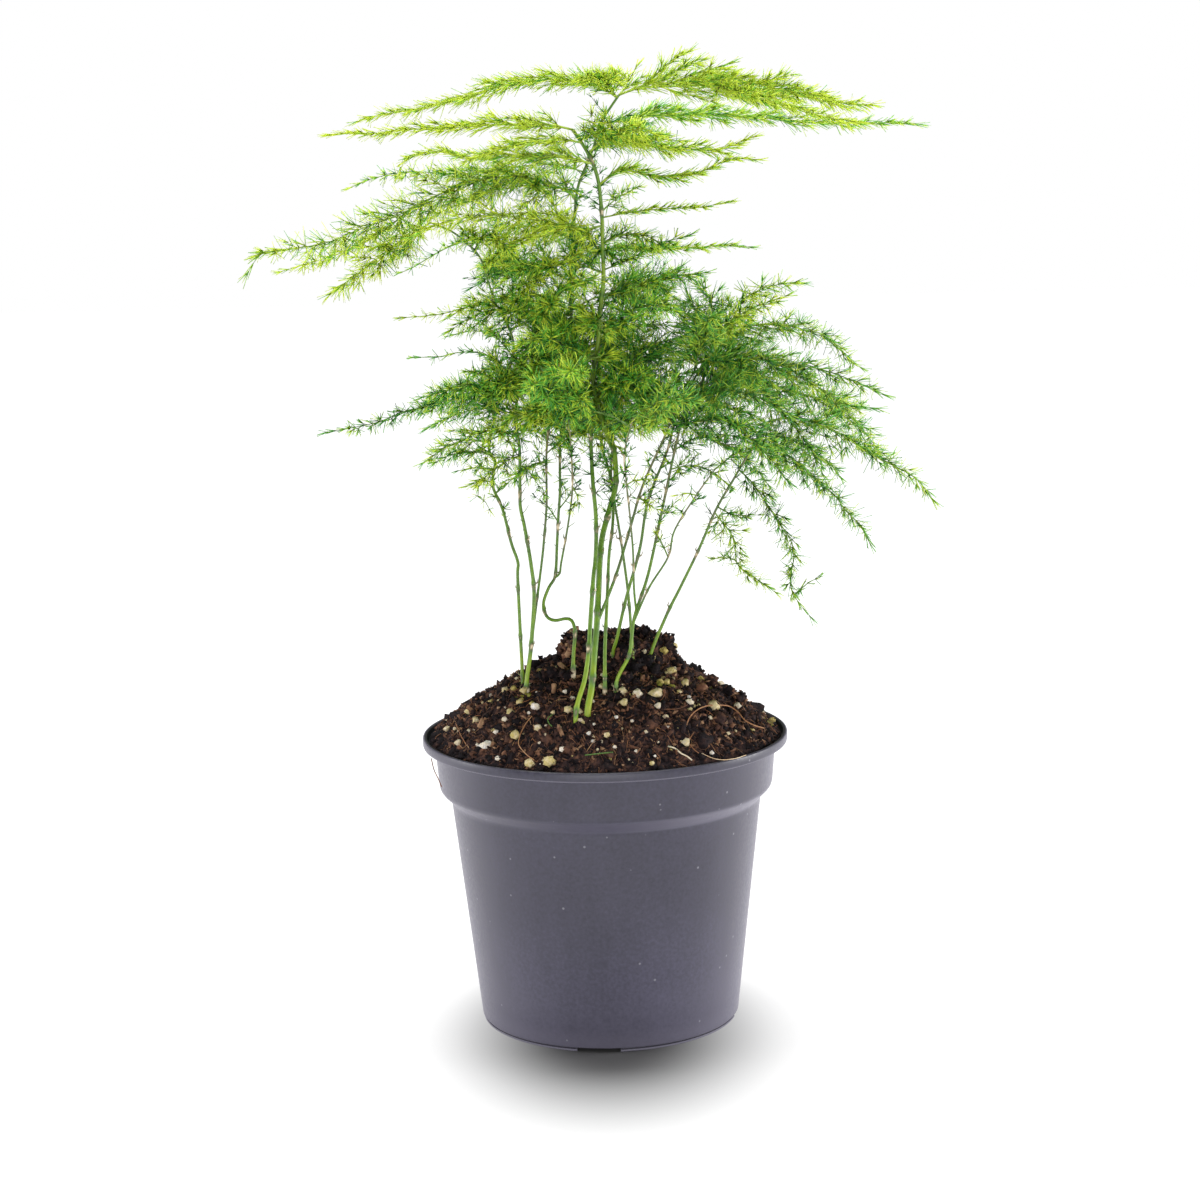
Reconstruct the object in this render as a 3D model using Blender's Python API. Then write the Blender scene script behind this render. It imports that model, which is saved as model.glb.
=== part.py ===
"""A potted asparagus fern: a tapered nursery pot, a mound of peat, and ten leafy stems of fine needles.

Metres, +Z up. The origin is the centre of the pot's flat base.
"""

import math
import random

import bpy
import numpy as np

MM = 0.001
UP = np.array([0.0, 0.0, 1.0])

# The pot, by its outside
POT_HEIGHT = 0.096
RIM_RADIUS = 0.060
BASE_RADIUS = 0.0427
BODY_TOP_RADIUS = 0.0510
COLLAR_LOW_RADIUS = 0.0550
COLLAR_TOP_RADIUS = 0.0560
LIP_HEIGHT = 0.0032
LIP_WIDTH = 0.0013
LIP_FLARE = 0.0012
COLLAR_HEIGHT = 0.0122
STEP_HEIGHT = 0.0058
STEP_CORNERS = ((0.18, 0.28), (0.85, 0.78))
FOOT_SET_IN = 0.0006
FOOT_HEIGHT = 0.0010
WALL = 0.0010
FLOOR = 0.0023
POT_SIDES = 40

# What water leaves by
NOTCH_COUNT = 4
NOTCH_TURN = math.radians(-95.6)
NOTCH_WIDTH = 0.0140
NOTCH_TAPER = 0.12
NOTCH_HEIGHT = 0.0015
NOTCH_DEPTH = 0.0040
DRAIN_COUNT = 8
DRAIN_RADIUS = 0.0040
DRAIN_CIRCLE = 0.0300
DRAIN_SIDES = 6

# The peat
GAP = 0.0004
SOIL_EDGE_DROP = 0.0016
MOUND_RISE = 0.0245
CLOD_CENTRE = (0.0050, 0.0100)
CLOD_REACH = (0.0200, 0.0165)
CLOD_RISE = 0.0090
CLOD_EDGE = (0.76, 1.12)
SOIL_RINGS = 11
LUMP_COUNT = 46
LUMP_REACH = (0.0030, 0.0065)
LUMP_RISE = (-0.0012, 0.0020)
ROOT_DEPTH = 0.012
HOLE_CLEARANCE = 0.0004
HOLE_ABOVE = 0.016

# The foliage
STEM_SIDES = 5
STEM_STRETCH = 0.020
STEM_TURN = math.radians(16)
CURVE_STEP = 0.0015
RACHIS_RADIUS = 0.00050
TWIG_RADIUS = 0.00042
TIP_RADIUS = 0.00028
ROOT_SLIM = 0.7
TUFT_PITCH = 0.0136
TUFT_LENGTH = 0.0009
TIP_LENGTH = 0.0006
FIRST_TUFT = 0.0045
FIRST_TWIG_TUFT = 0.0042
TWIG_PITCH = 0.0330
TWIG_LEAST = 0.0085
TWIG_ANGLE = math.radians(52)
TWIG_LIFT = (-0.10, 0.24)
TWIG_BEND = 0.55
TWIG_FORWARD = 0.35
TWIG_SAG = 0.18
TWIGGED_LEAST = 11
TWIGGED_SPAN = (0.18, 0.84)
TWIG_TAPER = 1.45
NEEDLE_LENGTH = 0.0056
TIP_SHORTER = 0.25
NEEDLE_LEAN = math.radians(44)
NEEDLE_SPREAD = math.radians(27)
NEEDLE_STAGGER = math.radians(6)
NEEDLE_TWIST = math.radians(7)
NEEDLE_JITTER = (0.85, 1.08)
NEEDLE_SIZE = 0.00012
NEEDLE_ROOT = 0.12
NEEDLE_CLEAR = 0.00035
NODE_CLEAR = 0.00075
CROWD_MOST = 20000

# Every route point is (across, up, back) in millimetres: across and up as seen from EYE on the upright plane
# through the pot's axis, with ROUTE_ZERO as their zero, and back as the depth behind that plane.
EYE = np.array([-0.0007, -0.8359, 0.2866])
ROUTE_ZERO = np.array([-0.0007, 0.0, 0.0012])

# name: (what it forks from, height of the fork, radius at the foot and at the top, route), in millimetres
STEMS = {
    "arching_stem": (None, 0, 0.8, 0.4, [
        (-26, 113, -9), (-26.3, 126.5, -8), (-26.7, 146.5, -6), (-26.5, 151.5, -5), (-28.5, 158, -4),
        (-31, 169, -2), (-34, 177, 0), (-33, 184.5, 2), (-34.8, 189.5, 3), (-31, 205, 5), (-26, 222, 6),
        (-31.5, 236.2, 5), (-34, 244, 4), (-36.5, 251.2, 2), (-44, 258.3, -2), (-51.5, 261.8, -6)]),
    "left_stem": (None, 0, 0.85, 0.4, [
        (-24.8, 110.3, -17), (-23, 123, -16), (-21.5, 140, -14), (-22.2, 150.3, -13), (-24, 163, -11),
        (-25.2, 169.5, -10), (-25.2, 175.5, -9), (-25, 189.5, -6), (-26, 200, -4), (-23, 216, 0),
        (-18, 232, 4)]),
    "left_stem_fork": ("left_stem", 124, 0.6, 0.35, [
        (-20.6, 139, -9), (-18.9, 150.2, -7), (-18, 157, -6), (-16.7, 170, -4), (-16.5, 179.5, -2),
        (-16.3, 187, 0), (-15, 205, 6), (-17, 225, 14), (-14, 240, 20)]),
    "kinked_stem": (None, 0, 0.7, 0.35, [
        (-9.3, 115, -15), (-9, 121.6, -15), (-8.4, 128, -15), (-9.4, 131.8, -14), (-11.5, 132.5, -13),
        (-14.6, 132, -11), (-17, 132.8, -10), (-18.3, 135.2, -9), (-18.4, 138.4, -8), (-16.6, 143, -7),
        (-14.6, 146.2, -6), (-14, 150.8, -5), (-13.7, 155.8, -4), (-13, 165.6, -3), (-12.2, 175, -2),
        (-12, 184.5, 1), (-11, 200, 9), (-8, 225, 26)]),
    "kinked_stem_fork": ("kinked_stem", 146, 0.5, 0.3, [
        (-13, 147.5, -7), (-12.4, 151, -8), (-10.7, 159.2, -10), (-9.3, 166.9, -12), (-8.2, 175.2, -14),
        (-8.2, 184.7, -16), (-9, 200, -20), (-10, 215, -24)]),
    "tall_stem_back": (None, 0, 0.9, 0.45, [
        (-8.6, 101.6, -39), (-5.6, 112, -36), (-4, 122, -33), (-3.3, 131.5, -30), (-2, 146, -26),
        (-1.3, 151, -24),
        (-0.8, 159, -22), (-0.8, 167.2, -20), (-1.4, 175.6, -18), (-1.7, 183.3, -15), (-2.5, 200, -9),
        (-6.3, 221.5, 2), (-7.5, 237.5, 8), (-6.2, 253.4, 12), (-4.5, 270.4, 12), (-1.2, 279, 11),
        (1.2, 284.7, 10), (3.5, 291.8, 9), (9.4, 300.4, 8)]),
    "tall_stem_front": (None, 0, 1.1, 0.55, [
        (-4.9, 100.6, -36), (-3.4, 109.3, -33.5), (-2.1, 122, -30), (-1.2, 130.5, -27.5), (-0.6, 138.5, -25),
        (0.8, 157, -18), (3.5, 167.5, -14), (5.9, 176.5, -11), (5.6, 187.5, -8), (4.3, 190.2, -6),
        (1, 201, -3),
        (-0.7, 211.3, -1), (1.1, 222, -2), (2, 232.2, -2), (3.3, 242.7, -2), (3.3, 256.4, -2),
        (3.2, 263.3, -2),
        (2.2, 274.3, -1), (-0.8, 282.5, 0), (-5.4, 289.9, 2)]),
    "tall_stem_front_fork": ("tall_stem_front", 130, 0.7, 0.35, [
        (5.4, 146.6, -24), (10.5, 162.6, -20), (14.7, 175.9, -17), (22.1, 191.8, -12), (27, 203, -10),
        (33, 215, -8)]),
    "middle_stem": (None, 0, 0.85, 0.4, [
        (1, 111, -25), (1.2, 119.5, -23.5), (1.4, 124.8, -22), (2, 133.5, -20), (2.6, 143, -17),
        (3.3, 153.6, -14.5), (4.6, 162.8, -12), (5, 172, -8.5), (4, 180, -5.5), (1.5, 190, 0), (0, 205, 8),
        (3, 220, 16), (6, 235, 22)]),
    "crossing_stem": (None, 0, 0.7, 0.4, [
        (10.3, 121, -6), (10, 128, -6), (9.3, 139.9, -6), (8, 152, -5.5), (6.6, 162.7, -5), (5.5, 170, -3),
        (4.5, 180, 2), (6, 195, 8), (10, 210, 13)]),
    "right_stem": (None, 0, 0.8, 0.4, [
        (3.7, 119.5, -6.5), (5.5, 126.5, -8.5), (8.6, 139, -10.5), (13.3, 155, -11), (16.3, 170.8, -10),
        (22.8, 187, -7), (26, 198, -4), (33, 212, 0), (40, 224, 4)]),
    "forked_stem": (None, 0, 0.85, 0.4, [
        (4.7, 110.4, -26), (9.1, 119.6, -24.5), (10, 125, -23.5), (11.3, 133, -22), (15.8, 146.3, -19),
        (19.9, 163.6, -16), (25.3, 187.3, -12), (29, 200, -8), (36, 212, -4)]),
    "forked_stem_right": ("forked_stem", 131, 0.5, 0.3, [
        (16, 142, -22), (22.5, 152.2, -23), (24.8, 161, -24), (32, 172.3, -25), (38.3, 180.8, -26)]),
    "forked_stem_left": ("forked_stem", 135, 0.5, 0.3, [
        (11.2, 142, -25), (11.1, 154, -27), (10.4, 165, -28), (9.3, 178, -29), (9, 187, -30),
        (12, 198, -32)]),
    "leaning_stem": (None, 0, 0.8, 0.4, [
        (15.7, 118, -3), (21.5, 132.6, -3), (26.4, 142.2, -3), (32.7, 154.8, -4), (38.3, 167.4, -5),
        (44, 177, -6),
        (50, 187, -6), (56, 196, -4)]),
}

# name: (what it grows from, height on a stem or share of a frond, half width in millimetres, route)
FRONDS = {
    "plume_left": ("tall_stem_back", 300, 20, [
        (2, 304, 8), (-8, 305.5, 9), (-20, 305.5, 10), (-30, 303.5, 12), (-40, 300.5, 14), (-50, 298.3, 16),
        (-60, 296.7, 18), (-70, 295, 20), (-73.5, 294, 21)]),
    "plume_right": ("tall_stem_back", 300.4, 28, [
        (16, 303.3, 6), (28, 303.5, 3), (40, 303, 0), (50, 301.7, -3), (60, 301, -6), (70, 299, -9),
        (80, 296.5, -12), (88.7, 295.8, -14)]),
    "plume_right_low": ("plume_right", 0.35, 12, [
        (52, 299, -14), (62, 296, -20), (70, 293.5, -25), (78, 291.5, -30), (86, 290.5, -34)]),
    "dark_right": ("tall_stem_back", 291.8, 17, [
        (12, 292.5, 14), (20, 293.8, 18), (35, 293.6, 24), (50, 292.8, 30), (62, 291.5, 34), (78, 290.2, 38),
        (93.5, 290, 42), (104.5, 289.3, 45)]),
    "second_left": ("tall_stem_front", 289.5, 18, [
        (-12, 291.5, 0), (-19, 292, -2), (-30, 292, -4), (-39, 291.6, -6), (-49.5, 291.3, -8),
        (-59, 291, -10),
        (-69, 290, -12), (-75.5, 290.4, -13), (-82, 290, -14)]),
    "second_left_low": ("tall_stem_front", 286, 13, [
        (-10, 287, -6), (-20, 286, -12), (-30, 284, -18), (-36, 282, -22)]),
    "third_right": ("tall_stem_front", 282.5, 15, [
        (5, 286.5, -3), (12, 286, -6), (20.4, 284.5, -9), (30, 283.5, -12), (39.4, 282.5, -15),
        (45.8, 284.2, -17),
        (51.4, 286.3, -18)]),
    "third_right_low": ("tall_stem_front", 272, 9, [
        (9, 277, -3), (18, 275.5, -8), (27, 274.5, -12), (36.8, 276.5, -16), (44, 279.7, -19),
        (52.8, 279.3, -22)]),
    "fourth_right": ("tall_stem_front", 262, 8, [
        (13.3, 263.8, -5), (26, 264.6, -9), (34, 264.7, -12), (44.3, 266.3, -15)]),
    "fifth_right": ("tall_stem_front", 252, 8, [
        (13.2, 252.4, 4), (22.7, 252, 8), (33, 252.1, 12), (41.7, 252.5, 15), (50.7, 251.8, 18)]),
    "fifth_right_up": ("tall_stem_front", 246, 10, [(12, 249, -6), (20, 253, -10), (31, 256, -15)]),
    "sixth_right": ("tall_stem_front", 238, 12, [(14, 240, 6), (26, 243, 10), (36, 244, 14)]),
    "curl_left": ("tall_stem_front", 279, 11, [
        (-8, 281.5, -6), (-15.5, 281.5, -9), (-26.5, 282, -12), (-34.5, 282, -15), (-39.6, 282, -17),
        (-46, 283.8, -20), (-53.5, 283.6, -23), (-59.3, 281, -26), (-60.5, 278.5, -27)]),
    "behind_left": ("tall_stem_back", 277, 15, [
        (-10, 279, 16), (-20, 279, 20), (-30, 278, 24), (-40, 277, 28), (-50, 277.5, 32), (-60, 277.7, 36),
        (-70, 275.8, 40), (-76, 273.5, 42)]),
    "long_left": ("tall_stem_back", 268.5, 20, [
        (-11, 272.3, 6), (-19, 275, 2), (-27, 275.7, -2), (-35, 275, -6), (-46.8, 271.3, -12),
        (-59, 265.5, -18),
        (-67, 262.5, -22), (-75.4, 259.7, -26), (-83.5, 256.5, -30), (-91.5, 255, -34), (-99.5, 254, -37),
        (-106, 253, -39), (-110, 247.6, -41)]),
    "long_left_branch": ("long_left", 0.52, 8, [
        (-68, 258.5, -14), (-80, 253, -9), (-90, 250, -5), (-99.5, 247.3, -2)]),
    "bright_left": ("tall_stem_front", 260, 13, [
        (-3.6, 258.5, -8), (-12, 260.5, -12), (-19.5, 262, -16), (-27, 263.4, -19), (-35, 263.6, -22),
        (-44, 262.5, -26), (-51, 260.5, -30), (-58, 257, -34)]),
    "arch_tip": ("arching_stem", 261.8, 12, [
        (-60.6, 256.6, -11), (-67, 252, -15), (-75.4, 246, -19), (-83.5, 240.3, -23)]),
    "arch_under": ("arching_stem", 256, 8, [(-48, 253, 4), (-58, 247.5, 8), (-62, 246, 10)]),
    "arch_right": ("arching_stem", 236.2, 12, [
        (-24, 241, 0), (-15.3, 246, -6), (-6, 250, -12), (1, 252.5, -17)]),
    "arch_left": ("arching_stem", 236, 6, [(-38, 235.4, -3), (-49, 232.7, -9), (-62, 231.7, -15)]),
    "arch_back": ("arching_stem", 244, 10, [(-28, 247, 10), (-20, 252, 18), (-12, 256, 26)]),
    "left_upper": ("arching_stem", 214, 13, [
        (-35, 219.5, 10), (-43, 220.3, 14), (-50, 219, 18), (-58.5, 219, 22)]),
    "left_upper_back": ("arching_stem", 222, 12, [(-33, 226, 14), (-40, 227, 20), (-47, 225.5, 26)]),
    "left_long": ("arching_stem", 200, 11, [
        (-38, 206, -3), (-47, 205, -8), (-55.5, 203, -12), (-62.3, 201.5, -16), (-70, 198.5, -20),
        (-79, 196.7, -24), (-87, 195.5, -28)]),
    "left_bright": ("left_stem", 193, 12, [(-32.6, 195, -14), (-39, 194, -20), (-46, 195, -25)]),
    "left_low": ("arching_stem", 186, 8, [(-37, 188, -6), (-43, 188, -11), (-48, 187, -15), (-52, 185, -18)]),
    "left_hook": ("arching_stem", 178, 3, [
        (-36.5, 178.8, -1), (-38.5, 177, -3), (-39, 173.4, -4), (-36.8, 172, -5), (-35, 168.6, -6)]),
    "left_front": ("left_stem", 205, 12, [(-32, 211, -12), (-38, 214, -20), (-42, 214, -28)]),
    "left_front_up": ("left_stem", 215, 12, [(-29, 222, -12), (-34, 228, -22), (-38, 231, -30)]),
    "left_top": ("left_stem", 232, 14, [(-12, 238, -4), (-4, 242, -14), (4, 243, -24)]),
    "fork_top": ("left_stem_fork", 240, 14, [(-20, 246, 28), (-28, 249, 36), (-36, 248, 44)]),
    "fork_back": ("left_stem_fork", 207, 12, [(-22, 212, 16), (-30, 215, 26), (-38, 214, 36)]),
    "kinked_back": ("kinked_stem", 200, 13, [(-5, 206, 18), (4, 209, 26), (12, 209, 34)]),
    "kinked_top": ("kinked_stem", 225, 14, [(-14, 232, 36), (-20, 236, 46), (-26, 236, 56)]),
    "front_left": ("kinked_stem_fork", 200, 14, [(-14, 206, -30), (-18, 209, -40), (-22, 209, -50)]),
    "front_middle": ("kinked_stem_fork", 215, 15, [(-8, 221, -33), (-6, 223, -43), (-5, 221, -53)]),
    "front_right": ("tall_stem_front", 205, 14, [(6, 209, -12), (12, 211, -22), (18, 210, -32)]),
    "front_crossing": ("tall_stem_front", 215, 14, [
        (-5, 220, -9), (-11, 223, -17), (-18, 224, -25), (-25, 222, -32)]),
    "front_right_up": ("tall_stem_front", 226, 15, [
        (8, 230, -10), (14, 233, -18), (20, 234, -27), (26, 232, -36)]),
    "front_low": ("tall_stem_front", 196, 11, [(8, 198, -12), (15, 197, -20), (22, 194, -28)]),
    "middle_top": ("middle_stem", 235, 14, [(14, 240, 28), (22, 243, 34), (30, 243, 40)]),
    "middle_back": ("middle_stem", 210, 13, [(-4, 215, 20), (-10, 217, 30), (-16, 217, 40)]),
    "crossing_top": ("crossing_stem", 210, 14, [(16, 217, 18), (24, 221, 24), (32, 222, 30)]),
    "crossing_low": ("crossing_stem", 195, 10, [(12, 199, 14), (18, 200, 20), (24, 199, 26)]),
    "tall_left_low": ("tall_stem_back", 229, 13, [(-14, 231, 2), (-22, 233, -5), (-30, 232, -12)]),
    "tall_right_back": ("tall_stem_back", 245, 12, [(-2, 250, 18), (6, 252, 26), (13, 252, 34)]),
    "tall_left_back": ("tall_stem_back", 255, 13, [
        (-12, 258, 20), (-20, 260, 28), (-28, 260, 36), (-36, 258, 44)]),
    "pale_up": ("right_stem", 224, 10, [(46.5, 234, 8), (54, 238.5, 10), (61.5, 240, 12), (67, 240, 14)]),
    "yellow_up": ("right_stem", 219, 10, [(43.5, 228, -4), (52.3, 233, -9), (61.5, 236, -13)]),
    "right_upper": ("right_stem", 212, 15, [
        (42, 222, 6), (50, 226.6, 12), (59.8, 227, 16), (68.5, 224.6, 20), (76.6, 221, 24), (81.8, 215, 26),
        (85.5, 212.6, 28)]),
    "right_second": ("tall_stem_front_fork", 215, 15, [
        (40, 217.5, -10), (50, 216.5, -13), (61, 214.4, -16), (72, 212.5, -19), (83, 208.5, -22),
        (92.3, 204, -25)]),
    "right_third": ("forked_stem", 212, 15, [
        (46, 211, 0), (53.6, 208, 4), (67, 204.5, 8), (80, 200.8, 12), (90.5, 199.3, 15)]),
    "right_long": ("leaning_stem", 196, 13, [
        (64, 197, -4), (72, 194.5, -5), (81.5, 190, -6), (88.8, 184.6, -7), (96.2, 180.6, -8),
        (103.6, 176, -9),
        (108.7, 169.3, -10)]),
    "right_droop": ("leaning_stem", 187, 11, [
        (57, 187.5, -12), (64.3, 183, -17), (70, 177.3, -21), (76.8, 171.5, -25), (80, 167, -27),
        (85, 161.5, -29), (88.2, 155.5, -31)]),
    "right_hanging": ("leaning_stem", 180, 8, [
        (50.2, 176, -9), (54.6, 169.5, -12), (59, 162.6, -14), (62.7, 156.6, -15), (63.5, 150.6, -15),
        (62.2, 143.7, -14), (64, 137.7, -14), (69, 131, -13)]),
    "right_hanging_side": ("right_hanging", 0.83, 4, [(67.7, 142.5, -16), (71.5, 144.3, -18)]),
    "right_short": ("leaning_stem", 168, 6, [(43.8, 165.6, -9), (48, 165.4, -11), (52, 165.4, -13)]),
    "right_loose": ("leaning_stem", 166.5, 8, [
        (40.5, 163, -1), (43.5, 159, 1), (44.5, 154, 2), (45.2, 149, 2), (51, 144.5, 2), (57, 140, 3)]),
    "right_loose_side": ("right_loose", 0.55, 4, [(41, 151.8, -2), (37, 151.4, -4)]),
    "right_front": ("tall_stem_front_fork", 203, 15, [
        (36, 206, -18), (46, 206, -26), (56, 202, -34), (64, 197, -40)]),
    "right_back": ("right_stem", 201, 15, [(34, 206, 8), (42, 208, 18), (52, 207, 28), (62, 202, 38)]),
    "right_front_low": ("forked_stem", 195, 13, [
        (36, 197, -18), (44, 196, -26), (52, 192, -33), (60, 187, -39)]),
    "right_back_low": ("forked_stem", 187, 12, [(32, 191, -3), (40, 192, 4), (48, 190, 10), (57, 185, 15)]),
    "right_back_droop": ("leaning_stem", 192, 11, [
        (60, 191, 4), (68, 187, 12), (75, 182, 18), (79, 177, 22)]),
    "right_back_up": ("right_stem", 222, 12, [(38, 232, 14), (36, 238, 24), (34, 241, 32)]),
    "right_front_up": ("tall_stem_front_fork", 213, 12, [(34, 222, -16), (36, 228, -24), (40, 231, -32)]),
    "near_right": ("forked_stem_left", 198, 13, [(18, 202, -38), (25, 204, -46), (32, 203, -54)]),
    "near_right_low": ("forked_stem_right", 180.8, 10, [(44, 185, -29), (50, 187, -33), (57, 185, -37)]),
    "low_yellow": ("forked_stem_left", 176, 5, [(13, 178, -32), (18, 177.5, -35)]),
    "low_right": ("forked_stem_right", 172, 4, [(29.5, 173, -28), (26, 172.5, -30)]),
    "low_left": ("left_stem", 183, 4, [(-22, 181, -12), (-19, 176.5, -15), (-17.5, 173.5, -17)]),
    "right_fall": ("right_third", 0.3, 13, [(57, 202, 0), (64, 194, -4), (70, 185, -8), (74, 176, -10)]),
    "right_fall_near": ("right_front_low", 0.45, 12, [(50, 190, -34), (56, 184, -38), (62, 176, -42)]),
    "right_fall_far": ("right_back_low", 0.35, 12, [(44, 187, 8), (51, 181, 14), (57, 173, 18)]),
    "right_fall_low": ("forked_stem", 181, 10, [(30, 182, -8), (37, 180, -4), (43, 175, 0)]),
    "right_middle": ("right_second", 0.45, 14, [(68, 209, -24), (77, 203, -30), (84, 195, -34)]),
    "right_end": ("right_third", 0.62, 11, [(80, 197, 18), (88, 190, 24), (93, 182, 28)]),
    "left_fill": ("arching_stem", 207, 13, [(-40, 210, -12), (-48, 208, -20), (-56, 206, -26)]),
    "left_fill_back": ("left_stem", 200, 13, [(-36, 202, 12), (-46, 200, 20), (-55, 196, 26)]),
    "left_fill_low": ("arching_stem", 191, 11, [(-42, 192, 4), (-50, 189, 8), (-56, 185, 10)]),
    "left_upper_fill": ("long_left", 0.3, 13, [
        (-36, 270, 6), (-48, 265, 12), (-60, 259, 16), (-70, 254, 18)]),
    "left_under": ("arching_stem", 247, 11, [(-30, 252, -10), (-22, 256, -18), (-14, 258, -26)]),
    "left_inside": ("tall_stem_back", 262, 12, [(-16, 264, 2), (-26, 264, 0), (-36, 262, -4)]),
}


def in_space(point):
    """A route point as a place in the part's frame, on the line of sight from EYE."""
    across, up, back = point
    seen = np.array([across * MM, 0.0, up * MM]) + ROUTE_ZERO
    reach = (back * MM - EYE[1]) / -EYE[1]
    return EYE + (seen - EYE) * reach


def height_seen(points):
    """The heights, in millimetres, at which points are seen on the plane of the pot's axis."""
    reach = (points[:, 1] - EYE[1]) / -EYE[1]
    return (EYE[2] + (points[:, 2] - EYE[2]) / reach - ROUTE_ZERO[2]) / MM


def smooth_curve(knots, step):
    """Points about a step apart on a smooth curve through the knots."""
    knots = [2 * knots[0] - knots[1], *knots, 2 * knots[-1] - knots[-2]]
    points = []
    for before, start, end, after in zip(knots, knots[1:], knots[2:], knots[3:]):
        count = max(1, round(float(np.linalg.norm(end - start)) / step))
        for index in range(count):
            t = index / count
            points.append(0.5 * (2 * start + (end - before) * t
                                 + (2 * before - 5 * start + 4 * end - after) * t * t
                                 + (3 * start - 3 * end + after - before) * t ** 3))
    points.append(knots[-2])
    return np.array(points)


def lengths_along(points):
    return np.concatenate([[0.0], np.cumsum(np.linalg.norm(np.diff(points, axis=0), axis=1))])


def curve_at(points, along, places):
    return np.stack([np.interp(places, along, points[:, axis]) for axis in range(3)], axis=1)


def unit(vector):
    return vector / np.linalg.norm(vector)


def tangents(points):
    steps = np.gradient(points, axis=0)
    return steps / np.linalg.norm(steps, axis=1)[:, None]


def frames(points):
    """The way along the curve at each point, and two unit vectors across it, carried along without twist."""
    ways = tangents(points)
    start = np.array([0.0, 1.0, 0.0]) if abs(ways[0][1]) < 0.9 else np.array([1.0, 0.0, 0.0])
    first = unit(start - ways[0] * float(start @ ways[0]))
    pairs = []
    for way in ways:
        first = unit(first - way * float(first @ way))
        pairs.append((first, np.cross(way, first)))
    return ways, pairs


def add_ring(vertices, centre, pair, radius, sides):
    start = len(vertices)
    for index in range(sides):
        turn = 2 * math.pi * index / sides
        vertices.append(centre + radius * (math.cos(turn) * pair[0] + math.sin(turn) * pair[1]))
    return [start + index for index in range(sides)]


def add_cap(vertices, faces, ring, centre, flipped):
    vertices.append(centre)
    middle = len(vertices) - 1
    for index, corner in enumerate(ring):
        following = ring[(index + 1) % len(ring)]
        faces.append((middle, following, corner) if flipped else (middle, corner, following))


def tube(points, radii, sides):
    """A closed tube through the points, as vertices and faces."""
    vertices, faces = [], []
    _, pairs = frames(points)
    rings = [add_ring(vertices, point, pair, radius, sides)
             for point, pair, radius in zip(points, pairs, radii)]
    for low, high in zip(rings, rings[1:]):
        for index in range(sides):
            following = (index + 1) % sides
            faces.append((low[index], low[following], high[following]))
            faces.append((low[index], high[following], high[index]))
    add_cap(vertices, faces, rings[0], points[0], True)
    add_cap(vertices, faces, rings[-1], points[-1], False)
    return vertices, faces


def make_object(name, vertices, faces, material=None):
    mesh = bpy.data.meshes.new(name)
    mesh.from_pydata([tuple(vertex) for vertex in vertices], [], faces)
    mesh.validate()
    made = bpy.data.objects.new(name, mesh)
    bpy.context.scene.collection.objects.link(made)
    if material:
        mesh.materials.append(material)
    return made


def make_material(name, colour, roughness):
    material = bpy.data.materials.new(name)
    material.use_nodes = True
    shader = material.node_tree.nodes["Principled BSDF"]
    shader.inputs["Base Color"].default_value = (*colour, 1.0)
    shader.inputs["Roughness"].default_value = roughness
    shader.inputs["Metallic"].default_value = 0.0
    return material


def turned(profile, sides):
    """A solid turned round Z from (radius, height) points that go up outside, in and down to the axis."""
    vertices, faces, rings = [], [], []
    for radius, height in profile:
        if radius == 0:
            vertices.append(np.array([0.0, 0.0, height]))
            rings.append([len(vertices) - 1] * sides)
            continue
        start = len(vertices)
        for index in range(sides):
            turn = 2 * math.pi * index / sides
            vertices.append(np.array([radius * math.cos(turn), radius * math.sin(turn), height]))
        rings.append([start + index for index in range(sides)])
    for low, high in zip(rings, rings[1:]):
        for index in range(sides):
            following = (index + 1) % sides
            corners = (low[index], low[following], high[following], high[index])
            for face in ((corners[0], corners[1], corners[2]), (corners[0], corners[2], corners[3])):
                if len(set(face)) == 3:
                    faces.append(face)
    return vertices, faces


def wall_heights():
    """The heights of the lip's underside and of the step's top and foot."""
    lip = POT_HEIGHT - LIP_HEIGHT
    step_top = lip - COLLAR_HEIGHT
    return lip, step_top, step_top - STEP_HEIGHT


def pot_outside():
    lip, step_top, step_foot = wall_heights()
    step = COLLAR_LOW_RADIUS - BODY_TOP_RADIUS
    flare = RIM_RADIUS - COLLAR_TOP_RADIUS
    return [
        (BASE_RADIUS - FOOT_SET_IN, 0.0),
        (BASE_RADIUS - FOOT_SET_IN, FOOT_HEIGHT),
        (BASE_RADIUS, FOOT_HEIGHT + FOOT_SET_IN / 3),
        (BODY_TOP_RADIUS, step_foot),
        *[(BODY_TOP_RADIUS + share * step, step_foot + rise * STEP_HEIGHT) for share, rise in STEP_CORNERS],
        (COLLAR_LOW_RADIUS, step_top),
        (COLLAR_TOP_RADIUS, lip - LIP_FLARE),
        (COLLAR_TOP_RADIUS + 0.3 * flare, lip - 0.2 * LIP_FLARE),
        (RIM_RADIUS, lip + 0.1 * LIP_HEIGHT),
        (RIM_RADIUS, POT_HEIGHT - 0.16 * LIP_HEIGHT),
        (RIM_RADIUS - 0.12 * flare, POT_HEIGHT),
    ]


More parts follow.
